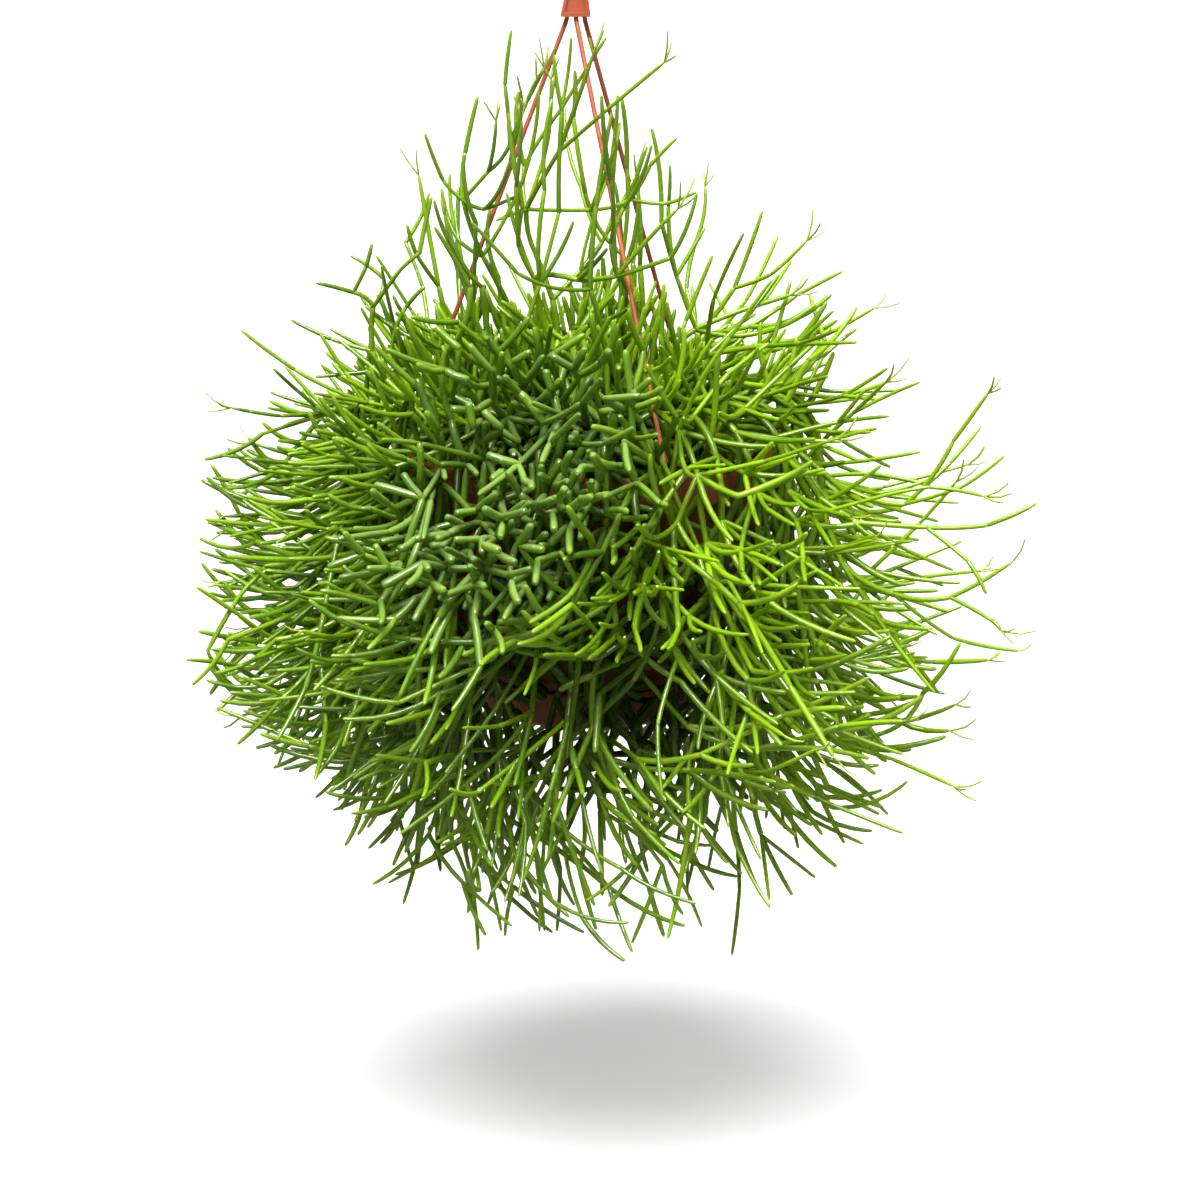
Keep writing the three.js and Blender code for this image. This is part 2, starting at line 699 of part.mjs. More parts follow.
function stepFrom(joint, towards) {
  return joint.clone().addScaledVector(towards.clone().sub(joint).normalize(), ROOT_STEP);
}

function growTwig(spray, root, along, progress, turn, random) {
  for (let attempt = 0; attempt < TWIG_TRIES; attempt += 1) {
    const spread = TWIG_SPREAD + TWIG_SPREAD_MORE * random();
    const heading = twigHeading(root, along, spread, turn + attempt * TWIG_TRY_TURN + 0.5 * random());
    const length = (OLD_LENGTH + (YOUNG_LENGTH - OLD_LENGTH) * progress) * (0.85 + 0.4 * random());
    const run = [root, root.clone().addScaledVector(heading, length)];
    const more = random() < LONG_CHANCE ? 2 : 1;
    for (let i = 1; i <= more; i += 1) {
      const outward = run[i].clone().sub(CENTRE).normalize();
      const stray = new THREE.Vector3(random() - 0.5, random() - 0.5, random() - 0.4);
      heading.addScaledVector(outward, 0.3).addScaledVector(stray, 0.7).normalize();
      run.push(run[i].clone().addScaledVector(heading, length * (0.8 + 0.4 * random())));
    }
    const kept = keepWithinReach(run, spray.factor);
    const radii = twigRadii(kept.length);
    if (kept.length > 1 && isRunClear(kept, radii, spray.name)) {
      placeRun(spray, kept, radii);
      return kept;
    }
  }
  return null;
}

function growTwigs(spray, joints, random) {
  for (let index = 3; index < joints.length - 1; index += 1) {
    const progress = index / (joints.length - 1);
    const along = joints[index + 1].clone().sub(joints[index - 1]).normalize();
    const count = random() < SECOND_TWIG_CHANCE ? 2 : 1;
    const roll = random() * 2 * Math.PI;
    for (let i = 0; i < count; i += 1) {
      const turn = roll + (i * 2 * Math.PI) / count;
      const root = stepFrom(joints[index], joints[index + (i % 2 ? 1 : -1)]);
      const twig = growTwig(spray, root, along, progress, turn, random);
      if (twig && twig.length > 2 && random() < FORK_CHANCE) {
        const onward = twig[1].clone().sub(twig[0]).normalize();
        const fork = twigHeading(twig[1], onward, FORK_SPREAD, random() * 2 * Math.PI);
        const tip = twig[1].clone().addScaledVector(fork, FORK_LENGTH + FORK_LENGTH_MORE * random());
        const run = keepWithinReach([stepFrom(twig[1], twig[0]), tip], spray.factor);
        if (run.length > 1 && isRunClear(run, twigRadii(2), spray.name)) placeRun(spray, run, twigRadii(2));
      }
    }
  }
}

function growShaped({ name, root, runs }) {
  const at = rootAt(...root);
  const spray = { name, runs: [], root: at };
  runs.forEach((run, index) => {
    const joints = run.map((p) => new THREE.Vector3(...p));
    if (index === 0) {
      joints.unshift(new THREE.Vector3(at.x, at.y, at.foot), new THREE.Vector3(at.x, at.y, at.top));
    }
    const radii = index === 0 ? leadRadii(joints.length) : twigRadii(joints.length);
    placeRun(spray, joints, radii);
  });
  sprays.push(spray);
}

function growGeneric(k) {
  const random = stream(SEED + k);
  const name = "spray_" + String(k + 1).padStart(2, "0");
  const level = (k + 0.5) / SPRAY_COUNT;
  const rise = LOWEST_RISE + (HIGHEST_RISE - LOWEST_RISE) * level ** 1.2;
  for (let attempt = 0; attempt < SPRAY_TRIES; attempt += 1) {
    const turn = k * GOLDEN_TURN + (random() - 0.5) * (0.3 + attempt * 0.03);
    const factor = 1 + REACH_VARIES * random();
    const direction = sphereDirection(turn, rise);
    const target = CENTRE.clone().addScaledVector(direction, reachAlong(direction) * LEAD_REACH * factor);
    const radius = ROOT_RING_R - ROOT_RING_IN * level + 14 * (random() - 0.5);
    const rootTurn = turn + (random() - 0.5) * (0.3 + attempt * 0.02);
    const root = rootAt(radius * Math.cos(rootTurn), radius * Math.sin(rootTurn));
    const shoulder = SHOULDER_R + SHOULDER_SPREAD * random();
    const joints = jointsAlong(guideTo(target, root, shoulder), random);
    const foot = new THREE.Vector3(root.x, root.y, root.foot);
    const radii = leadRadii(joints.length + 1);
    if (!isStemClear(foot, joints[0]) || !isRunClear(joints, radii.slice(1), "")) continue;
    const spray = { name, runs: [], factor, root };
    placeRun(spray, [foot, ...joints], radii);
    sprays.push(spray);
    growTwigs(spray, spray.runs[0].joints, random);
    return;
  }
}

// The stretch in the soil has only the other stems to keep clear of.
function isStemClear(a, b) {
  return placed.every((other) => lengthGap(a, b, other.a, other.b) > (OLD_R + other.r) * PRISM + ROOT_ROOM);
}

SHAPED.forEach(growShaped);
for (let k = 0; k < SPRAY_COUNT; k += 1) growGeneric(k);

// The finished object
const group = new THREE.Group();

function addPart(name, solid, finish, parent) {
  const mesh = new THREE.Mesh(toGeometry(solid), new THREE.MeshStandardMaterial(finish));
  mesh.name = name;
  parent.add(mesh);
}

const potGroup = new THREE.Group();
potGroup.position.set(POT_OFFSET_X, 0, -HANG_DROP);
group.add(potGroup);

addPart("hanger_hook", hookSolid(), HANGER_ORANGE, group);
for (const strand of STRANDS) addPart(strand.name, strandSolid(strand), HANGER_ORANGE, group);
addPart("pot", potSolid(), TERRACOTTA, potGroup);
addPart("saucer", saucerSolid(), TERRACOTTA, potGroup);
addPart("soil", soilSolid(sprays.map((spray) => spray.root)), SOIL_BROWN, potGroup);
for (const spray of sprays) {
  const rods = spray.runs.map(({ joints, radii }) => rod(joints, radii.map((r) => r * PRISM), STEM_SIDES));
  addPart(spray.name, joined(rods.map(toSolid)), STEM_GREEN, potGroup);
}

export default group;
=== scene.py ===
"""Looks of a Rhipsalis heteroclada in a hanging plastic pot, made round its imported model. Metres, +Z up.

The growth rule first draws the same sprays as the model, spray by spray, and then grows many more stems on
them. Each spray becomes one piece of round, jointed stems, which stands for that spray's plain solid."""
import math

import bmesh
import bpy
import numpy as np
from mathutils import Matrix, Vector, noise


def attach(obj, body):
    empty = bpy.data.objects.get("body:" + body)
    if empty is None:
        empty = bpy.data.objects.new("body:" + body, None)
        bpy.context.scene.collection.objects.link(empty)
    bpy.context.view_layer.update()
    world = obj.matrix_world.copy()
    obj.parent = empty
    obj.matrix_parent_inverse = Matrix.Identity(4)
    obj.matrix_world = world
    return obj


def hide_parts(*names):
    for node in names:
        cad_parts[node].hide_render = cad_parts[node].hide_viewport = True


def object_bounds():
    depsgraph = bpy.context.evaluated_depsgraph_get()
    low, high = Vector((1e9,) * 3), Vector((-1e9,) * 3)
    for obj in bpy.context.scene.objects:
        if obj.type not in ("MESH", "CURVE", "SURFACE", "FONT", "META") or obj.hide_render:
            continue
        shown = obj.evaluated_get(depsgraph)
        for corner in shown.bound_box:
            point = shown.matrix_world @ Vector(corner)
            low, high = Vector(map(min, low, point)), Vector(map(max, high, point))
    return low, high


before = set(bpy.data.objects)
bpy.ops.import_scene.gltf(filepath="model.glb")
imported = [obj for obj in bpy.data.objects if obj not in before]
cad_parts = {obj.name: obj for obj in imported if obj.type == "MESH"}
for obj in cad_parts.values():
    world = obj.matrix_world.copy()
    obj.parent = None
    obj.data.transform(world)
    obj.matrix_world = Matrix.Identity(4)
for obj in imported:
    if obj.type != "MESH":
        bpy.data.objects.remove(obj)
cad_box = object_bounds()

MM = 0.001

# Sizes of the model, in millimetres
HANG_DROP = 261  # from the hook's bearing point down to the top of the rim
POT_OFFSET_X = 6
GAP = 0.35
RIM_R, RIM_T = 90, 1.8
COLLAR_H, COLLAR_T = 14.5, 1.6
WALL_T, WALL_TOP_R = 1.6, 83.4
POT_H, FLOOR_T = 118, 1.8
FOOT_R, FOOT_H = 45.6, 10.2
BEAD_R, BEAD_Z = 46.6, -112
WALL = [
    (WALL_TOP_R, -RIM_T),
    (WALL_TOP_R - 0.6, -COLLAR_H),
    (77.5, -50),
    (66.5, -83),
    (56.5, -101),
    (FOOT_R + 6.5, -POT_H + FOOT_H + 2),
    (FOOT_R, -POT_H + FOOT_H),
]
DRAIN_COUNT, DRAIN_R, DRAIN_RING_R = 4, 3.5, 30
SAUCER_R, SAUCER_T = 49.4, 1.5
SAUCER_TOP, SAUCER_BOTTOM = -108.4, -125
SAUCER_LIP_R, SAUCER_LIP_H, SAUCER_RIB_R = 46, 1.6, 34
SOIL_TOP, ROOT_DEPTH, ROOT_RISE = -15, 13, 7
BOW_R, BOW_W, BOW_D = 13, 5.6, 7
BOW_FLANGE, BOW_WEB = 1.2, 3
BOW_START_DEG, BOW_END_DEG, BOW_POINTS = -40, 205, 10
BLOCK_BOTTOM, BLOCK_TOP = -60, -43
BLOCK_W, BLOCK_TOP_W, BLOCK_D = 13.6, 8, 9
BLOCK_RECESS, BLOCK_BORDER, BLOCK_LEAN, BLOCK_LIP = 1.6, 2, 0.6, 1.2
STRAND_R, STRAND_SOCKET, STRAND_HOLE_R, STRAND_RING_R = 1.1, 5, 1.55, 85.5
BARB_R, BARB_H = 1.9, 4
STRANDS = [
    ("strand_left", 174, (-3.9, 0.2)),
    ("strand_front", 294, (0.1, -1.8)),
    ("strand_back", 54, (4, 1.6)),
]

# The model's growth rule, in millimetres in the pot's own frame: origin at the middle of the rim's top
SEED = 7041
CENTRE = (0.0, 0.0, -73.0)
REACH, REACH_UP, REACH_RIGHT = 171, 14, 6
SPRAY_COUNT, SPRAY_TRIES = 43, 60
LOWEST_RISE, HIGHEST_RISE, RISE_POWER = -0.88, 0.86, 1.2
GOLDEN_TURN, TURN_STRAY, TURN_STRAY_MORE, ROOT_STRAY_MORE = 2.399963, 0.3, 0.03, 0.02
OLD_R, YOUNG_R, TWIG_R = 1.9, 1.5, 1.3
ROOT_SHARE, TIP_SHARE, ROOT_STEP = 0.5, 0.85, 2.4
PRISM, STEM_GAP = 1.2, 0.5
OWN_ROOM, SAME_JOINT = 0.8, 0.1  # a spray's own stems may stand closer, and those of one joint touch
SECOND_TWIG_CHANCE, LONG_CHANCE, FORK_CHANCE = 0.2, 0.35, 0.25
FORK_LENGTH, FORK_LENGTH_MORE, FORK_SPREAD = 20, 14, 0.6
TWIG_SPREAD, TWIG_SPREAD_MORE = 0.55, 0.5
TWIG_TRIES, TWIG_TRY_TURN, TWIG_TRY_STRAY = 8, 0.8, 0.5
TWIG_ONWARD, TWIG_OUTWARD = 0.6, 0.7  # a twig leaves round its stem's line and the way out, in these shares
TWIG_FIRST, TWIG_NEXT, TWIG_VARIES = 0.85, 0.8, 0.4  # its lengths, against its stem's
TWIG_OPENS, TWIG_STRAY, TWIG_STRAY_DOWN = 0.3, 0.7, 0.4
TWIGS_FROM = 3  # the first joint of a lead that carries any
LEAD_REACH, REACH_VARIES = 0.88, 0.2
ROOT_RING_R, ROOT_RING_IN, ROOT_RING_STRAY = 68, 48, 14
POT_GAP, ROOT_ROOM, STRAND_ROOM, HOOK_ROOM = 2, 2, 1, 10
CLEAR_STEPS = 4  # a stem is tested against the pot at its ends and between them
HIGH_TARGET, HIGH_OUT, HIGH_RISE, HIGH_PULL = 12, 10, 0.3, 0.72
ARCH_RISE, ARCH_OUT, ARCH_FALL = 44, 8, 0.75
SHOULDER_R, SHOULDER_SPREAD, SHOULDER_Z = 100, 16, -14
SWING_PULL, SWING_DROP = 0.42, 0.4
OLD_LENGTH, YOUNG_LENGTH, BEND_POINTS = 22, 37, 40
LENGTH_LEAST, LENGTH_VARIES, LAST_LENGTH = 0.85, 0.3, 0.6
SIDE_TILT = 0.3  # so that a heading has a side where it points straight up
SHAPED = [
  {
    "name": "spray_crown_tall",
    "root": [-8, 8],
    "runs": [
      [[-11, 8, 20], [-14, 6, 45], [-17, 5, 69], [-25, 5, 91], [-29, 0, 112], [-14, -16, 140],
        [2, -32, 186]],
      [[-29, 0, 112], [-30, 12, 131], [-13, 14, 157], [8, 16, 190]],
      [[-14, -16, 140], [9, -36, 162], [34, -50, 184]],
      [[-29, 0, 112], [1, -20, 114], [19, -30, 120], [28, -35, 136], [40, -40, 149]],
      [[19, -30, 120], [35, -30, 118], [49, -35, 124]],
      [[-29, 0, 112], [-21, 5, 135], [-18, 8, 149]],
      [[-29, 0, 112], [-43, -9, 108]],
      [[-17, 5, 69], [-4, 10, 82], [6, 18, 94]],
    ],
  },
  {
    "name": "spray_crown_left",
    "root": [-24, -14],
    "runs": [
      [[-28, -13, 18], [-33, -12, 42], [-38, -11, 70], [-49, -15, 92], [-58, -15, 118], [-57, -10, 139],
        [-51, -8, 165]],
      [[-58, -15, 118], [-67, -15, 127], [-75, -20, 149]],
      [[-58, -15, 118], [-46, -22, 132], [-36, -28, 145], [-38, -30, 172], [-35, -30, 197]],
      [[-36, -28, 145], [-28, -34, 165], [-20, -36, 180]],
      [[-58, -15, 118], [-48, -25, 115], [-31, -34, 123]],
      [[-49, -15, 92], [-60, -6, 98], [-62, 2, 112]],
    ],
  },
  {
    "name": "spray_crown_low",
    "root": [-6, -24],
    "runs": [
      [[-8, -24, 22], [-16, -26, 50], [-25, -31, 84], [-5, -45, 85], [13, -54, 88], [37, -60, 97]],
      [[-25, -31, 84], [-32, -38, 100], [-30, -44, 118]],
      [[-16, -26, 50], [-2, -34, 62], [12, -38, 78]],
      [[13, -54, 88], [10, -60, 104], [16, -62, 120]],
    ],
  },
  {
    "name": "spray_left_spike",
    "root": [-44, 6],
    "runs": [
      [[-52, 4, 16], [-62, 0, 44], [-70, 0, 76], [-79, 5, 127]],
      [[-70, 0, 76], [-80, -8, 92], [-84, -10, 106]],
      [[-62, 0, 44], [-74, -9, 56], [-90, -13, 65]],
    ],
  },
  {
    "name": "spray_left_fork",
    "root": [-46, -18],
    "runs": [
      [[-60, -18, 10], [-84, -14, 20], [-101, -10, 47], [-100, -12, 68], [-109, -14, 75], [-126, -18, 80]],
      [[-109, -14, 75], [-103, -16, 87], [-100, -18, 98]],
      [[-100, -12, 68], [-95, -6, 80], [-111, -4, 91]],
      [[-100, -12, 68], [-87, -18, 86], [-78, -20, 94]],
      [[-84, -14, 20], [-91, -24, 50], [-84, -28, 70], [-75, -30, 80]],
      [[-101, -10, 47], [-120, -6, 52], [-139, 0, 60]],
    ],
  },
  {
    "name": "spray_right_high",
    "root": [44, -14],
    "runs": [
      [[56, -20, 10], [84, -32, 13], [112, -43, -8], [145, -55, -17], [166, -60, 13], [181, -65, 36]],
      [[145, -55, -17], [166, -48, 1], [180, -43, 17]],
      [[145, -55, -17], [170, -70, -6], [188, -75, 9]],
      [[112, -43, -8], [134, -34, -16], [158, -30, -10]],
    ],
  },
  {
    "name": "spray_right_long",
    "root": [42, -42],
    "runs": [
      [[52, -50, 10], [66, -60, 13], [94, -80, -20], [123, -85, -20], [152, -90, -21], [179, -95, -19],
        [201, -95, -9]],
      [[94, -80, -20], [121, -99, -8], [152, -104, 0], [176, -105, -4]],
      [[123, -85, -20], [144, -76, -34], [166, -74, -44]],
      [[152, -90, -21], [170, -102, -34], [178, -108, -48]],
    ],
  },
  {
    "name": "spray_right_low",
    "root": [64, -34],
    "runs": [
      [[70, -38, 9], [85, -47, 11], [106, -56, -14], [116, -58, -44], [140, -60, -58], [166, -58, -60],
        [194, -60, -43]],
      [[140, -60, -58], [168, -54, -80], [199, -50, -87]],
      [[116, -58, -44], [138, -70, -76], [158, -80, -100]],
      [[166, -58, -60], [184, -70, -68], [196, -80, -80]],
    ],
  },
  {
    "name": "spray_top_right",
    "root": [30, 18],
    "runs": [
      [[36, 16, 22], [52, 10, 52], [68, 8, 74], [81, 10, 110]],
      [[68, 8, 74], [85, -2, 82], [101, -6, 98]],
      [[52, 10, 52], [76, 22, 54], [98, 26, 68], [120, 24, 80]],
      [[52, 10, 52], [46, 22, 72], [50, 30, 92]],
    ],
  },
]


def add(a, b, s=1.0):
    return (a[0] + b[0] * s, a[1] + b[1] * s, a[2] + b[2] * s)


def sub(a, b):
    return (a[0] - b[0], a[1] - b[1], a[2] - b[2])


def dot(a, b):
    return a[0] * b[0] + a[1] * b[1] + a[2] * b[2]


def length(a):
    return math.sqrt(a[0] * a[0] + a[1] * a[1] + a[2] * a[2])


def unit(a):
    n = length(a) or 1.0
    return (a[0] / n, a[1] / n, a[2] / n)


def cross(a, b):
    return (a[1] * b[2] - a[2] * b[1], a[2] * b[0] - a[0] * b[2], a[0] * b[1] - a[1] * b[0])


def scaled(a, s):
    return (a[0] * s, a[1] * s, a[2] * s)


def lerp(a, b, t):
    return (a[0] + (b[0] - a[0]) * t, a[1] + (b[1] - a[1]) * t, a[2] + (b[2] - a[2]) * t)


def smooth_step(t):
    t = min(max(t, 0.0), 1.0)
    return t * t * (3 - 2 * t)


def from_pot(p):
    """A place in the pot's own frame, in millimetres, as one in the part's frame, in metres."""
    return ((p[0] + POT_OFFSET_X) * MM, p[1] * MM, (p[2] - HANG_DROP) * MM)


# The model's own sprays, by the same rule and the same draws
def stream(seed):
    """Draws from 0 to 1 by the same 32-bit sums as the model's source."""
    state = [seed & 0xFFFFFFFF]

    def draw():
        state[0] = (state[0] + 0x6D2B79F5) & 0xFFFFFFFF
        s = state[0]
        mixed = ((s ^ (s >> 15)) * (1 | s)) & 0xFFFFFFFF
        mixed = ((mixed + (((mixed ^ (mixed >> 7)) * (61 | mixed)) & 0xFFFFFFFF)) & 0xFFFFFFFF) ^ mixed
        return ((mixed ^ (mixed >> 14)) & 0xFFFFFFFF) / 4294967296

    return draw


def wall_radius(z):
    for (r0, z0), (r1, z1) in zip(WALL, WALL[1:]):
        if z >= z1:
            return r0 if z > z0 else r1 + (r0 - r1) * (z - z1) / (z0 - z1)
    return SAUCER_R


def in_pot(p, margin):
    r = math.hypot(p[0], p[1])
    if p[2] > margin or p[2] < SAUCER_BOTTOM - margin:
        return False
    if p[2] > -COLLAR_H - margin:
        if r > RIM_R + margin:
            return False
        return r > WALL_TOP_R - WALL_T - margin or p[2] < SOIL_TOP + margin
    return r < max(wall_radius(p[2]), SAUCER_R) + margin


def length_gap(a0, a1, b0, b1):
    """The least distance between two lengths."""
    u, v, w = sub(a1, a0), sub(b1, b0), sub(a0, b0)
    uu, vv, uv, uw, vw = dot(u, u), dot(v, v), dot(u, v), dot(u, w), dot(v, w)
    det = uu * vv - uv * uv
    s = (uv * vw - vv * uw) / det if det > 1e-9 else 0.0
    s = min(max(s, 0.0), 1.0)
    t = min(max((uv * s + vw) / vv, 0.0), 1.0)
    s = min(max((uv * t - uw) / uu, 0.0), 1.0)
    return length(add(add(w, u, s), v, -t))


placed = []  # what new lengths keep clear of: two ends, a radius and the spray's name
sprays = []


def strand_route(angle, top):
    """A strand's line in the part's frame, from its socket in the block to below the rim."""
    turn = math.radians(angle)
    x = POT_OFFSET_X + STRAND_RING_R * math.cos(turn)
    y = STRAND_RING_R * math.sin(turn)
    return [
        (top[0], top[1], BLOCK_BOTTOM + STRAND_SOCKET - GAP),
        (top[0], top[1], BLOCK_BOTTOM - 1),
        (x, y, -HANG_DROP + 4),
        (x, y, -HANG_DROP - RIM_T - GAP),
    ]


def place_hanger():
    for name, angle, top in STRANDS:
        route = [sub(p, (POT_OFFSET_X, 0, -HANG_DROP)) for p in strand_route(angle, top)]
        for a, b in zip(route, route[1:]):
            placed.append((a, b, STRAND_R + STRAND_ROOM, name))
    block_foot = (-POT_OFFSET_X, 0, HANG_DROP + BLOCK_BOTTOM + STRAND_SOCKET)
    placed.append((block_foot, (-POT_OFFSET_X, 0, HANG_DROP), HOOK_ROOM, "hook"))


def is_clear(a, b, r, spray):
    for i in range(CLEAR_STEPS + 1):
        if in_pot(lerp(a, b, i / CLEAR_STEPS), r + POT_GAP):
            return False
    for other_a, other_b, other_r, other_spray in placed:
        need = (r + other_r) * PRISM + STEM_GAP
        if other_spray == spray:
            if min(length(sub(other_a, a)), length(sub(other_b, a))) < 2 * ROOT_STEP + SAME_JOINT:
                continue
            need *= OWN_ROOM
        if length_gap(a, b, other_a, other_b) < need:
            return False
    return True


def reach_along(d):
    return REACH + REACH_UP * d[2] + REACH_RIGHT * d[0]


def sphere_direction(turn, rise):
    flat = math.sqrt(1 - rise * rise)
    return (flat * math.cos(turn), flat * math.sin(turn), rise)


def bezier(corners, t):
    k = 1 - t
    place = scaled(corners[0], k * k * k)
    place = add(place, corners[1], 3 * k * k * t)
    place = add(place, corners[2], 3 * k * t * t)
    return add(place, corners[3], t * t * t)


def along_bends(bends):
    points = []
    for index, corners in enumerate(bends):
        for i in range(0 if index == 0 else 1, BEND_POINTS + 1):
            points.append(bezier(corners, i / BEND_POINTS))
    return points


def joints_along(points, random):
    """Joints along a guide, close together on the old wood and further apart towards the tip."""
    lengths = [0.0]
    for a, b in zip(points, points[1:]):
        lengths.append(lengths[-1] + length(sub(b, a)))
    total = lengths[-1]
    joints = []
    at = 0.0
    while at < total - OLD_LENGTH * LAST_LENGTH:
        i = 0
        while lengths[i + 1] < at:
            i += 1
        joints.append(lerp(points[i], points[i + 1], (at - lengths[i]) / (lengths[i + 1] - lengths[i])))
        span = OLD_LENGTH + (YOUNG_LENGTH - OLD_LENGTH) * at / total
        at += span * (LENGTH_LEAST + LENGTH_VARIES * random())
    joints.append(points[-1])
    return joints


def guide_to(target, root, shoulder):
    """A lead's guide: straight up and out to a high target, or else over the rim and down to it."""
    out = math.hypot(target[0], target[1])

    def corner(r, z):
        return ((target[0] / out) * r, (target[1] / out) * r, z)

    start = (root["x"] * target[0] + root["y"] * target[1]) / out
    root_top = (root["x"], root["y"], root["top"])
    if target[2] > HIGH_TARGET:
        rise = corner(start + HIGH_OUT, ARCH_RISE + HIGH_RISE * target[2])
        bend = corner(out * HIGH_PULL, HIGH_OUT + target[2] * HIGH_PULL)
        return along_bends([[root_top, rise, bend, target]])
    top = corner(shoulder, SHOULDER_Z)
    arch = [root_top, corner(start + ARCH_OUT, ARCH_RISE), corner(shoulder + 1, ARCH_RISE * ARCH_FALL), top]
    far = math.hypot(out - shoulder, target[2] - SHOULDER_Z)
    pull = SWING_PULL * far / math.hypot(out, target[2] - CENTRE[2])
    swing = corner(out - pull * out, target[2] - pull * (target[2] - CENTRE[2]))
    return along_bends([arch, [top, corner(shoulder - 1, SHOULDER_Z - SWING_DROP * far), swing, target]])


def root_at(x, y):
    return {"x": x, "y": y, "top": SOIL_TOP + ROOT_RISE, "foot": SOIL_TOP - ROOT_DEPTH}


def place_run(spray, joints, radii):
    for i in range(1, len(joints)):
        placed.append((joints[i - 1], joints[i], radii[i], spray["name"]))
    spray["runs"].append((joints, radii))


def lead_radii(count):
    return [OLD_R + (YOUNG_R - OLD_R) * i / (count - 1) for i in range(count)]


def twig_radii(count):
    radii = [TWIG_R] * count
    radii[0] = TWIG_R * ROOT_SHARE
    radii[-1] = TWIG_R * TIP_SHARE
    return radii


def is_run_clear(joints, radii, name):
    for i in range(1, len(joints)):
        if not is_clear(joints[i - 1], joints[i], radii[i], name if i == 1 else ""):
            return False
    return True


def turned_from(axis, spread, turn):
    """A heading that leaves an axis by the angle of spread, on the side that the turn gives."""
    side = unit(cross((axis[1], -axis[0], SIDE_TILT), axis))
    across = cross(side, axis)
    heading = scaled(axis, math.cos(spread))
    heading = add(heading, side, math.sin(spread) * math.cos(turn))
    return add(heading, across, math.sin(spread) * math.sin(turn))


def twig_heading(joint, along, spread, turn):
    outward = unit(sub(joint, CENTRE))
    return turned_from(unit(add(scaled(along, TWIG_ONWARD), outward, TWIG_OUTWARD)), spread, turn)


def keep_within_reach(run, factor):
    for i in range(1, len(run)):
        offset = sub(run[i], CENTRE)
        n = length(offset)
        if n > reach_along(scaled(offset, 1 / n)) * factor:
            return run[:i]
    return run


def step_from(joint, towards):
    return add(joint, unit(sub(towards, joint)), ROOT_STEP)


def grow_twig(spray, root, along, progress, turn, random):
    for attempt in range(TWIG_TRIES):
        spread = TWIG_SPREAD + TWIG_SPREAD_MORE * random()
        tried = turn + attempt * TWIG_TRY_TURN + TWIG_TRY_STRAY * random()
        heading = twig_heading(root, along, spread, tried)
        step = OLD_LENGTH + (YOUNG_LENGTH - OLD_LENGTH) * progress
        step *= TWIG_FIRST + TWIG_VARIES * random()
        run = [root, add(root, heading, step)]
        more = 2 if random() < LONG_CHANCE else 1
        for i in range(1, more + 1):
            outward = unit(sub(run[i], CENTRE))
            stray = (random() - 0.5, random() - 0.5, random() - TWIG_STRAY_DOWN)
            heading = unit(add(add(heading, outward, TWIG_OPENS), stray, TWIG_STRAY))
            run.append(add(run[i], heading, step * (TWIG_NEXT + TWIG_VARIES * random())))
        kept = keep_within_reach(run, spray["factor"])
        radii = twig_radii(len(kept))
        if len(kept) > 1 and is_run_clear(kept, radii, spray["name"]):
            place_run(spray, kept, radii)
            return kept
    return None


def grow_twigs(spray, joints, random):
    for index in range(TWIGS_FROM, len(joints) - 1):
        progress = index / (len(joints) - 1)
        along = unit(sub(joints[index + 1], joints[index - 1]))
        count = 2 if random() < SECOND_TWIG_CHANCE else 1
        roll = random() * 2 * math.pi
        for i in range(count):
            turn = roll + i * 2 * math.pi / count
            root = step_from(joints[index], joints[index + (1 if i % 2 else -1)])
            twig = grow_twig(spray, root, along, progress, turn, random)
            if twig and len(twig) > 2 and random() < FORK_CHANCE:
                onward = unit(sub(twig[1], twig[0]))
                fork = twig_heading(twig[1], onward, FORK_SPREAD, random() * 2 * math.pi)
                tip = add(twig[1], fork, FORK_LENGTH + FORK_LENGTH_MORE * random())
                run = keep_within_reach([step_from(twig[1], twig[0]), tip], spray["factor"])
                if len(run) > 1 and is_run_clear(run, twig_radii(2), spray["name"]):
                    place_run(spray, run, twig_radii(2))


def grow_generic(k):
    random = stream(SEED + k)
    name = "spray_%02d" % (k + 1)
    level = (k + 0.5) / SPRAY_COUNT
    rise = LOWEST_RISE + (HIGHEST_RISE - LOWEST_RISE) * level ** RISE_POWER
    for attempt in range(SPRAY_TRIES):
        turn = k * GOLDEN_TURN + (random() - 0.5) * (TURN_STRAY + attempt * TURN_STRAY_MORE)
        factor = 1 + REACH_VARIES * random()
        direction = sphere_direction(turn, rise)
        target = add(CENTRE, direction, reach_along(direction) * LEAD_REACH * factor)
        radius = ROOT_RING_R - ROOT_RING_IN * level + ROOT_RING_STRAY * (random() - 0.5)
        root_turn = turn + (random() - 0.5) * (TURN_STRAY + attempt * ROOT_STRAY_MORE)
        root = root_at(radius * math.cos(root_turn), radius * math.sin(root_turn))
        shoulder = SHOULDER_R + SHOULDER_SPREAD * random()
        joints = joints_along(guide_to(target, root, shoulder), random)
        foot = (root["x"], root["y"], root["foot"])
        radii = lead_radii(len(joints) + 1)
        if not is_stem_clear(foot, joints[0]) or not is_run_clear(joints, radii[1:], ""):
            continue
        spray = {"name": name, "runs": [], "factor": factor, "root": root}
        place_run(spray, [foot] + joints, radii)
        sprays.append(spray)
        grow_twigs(spray, spray["runs"][0][0], random)
        return


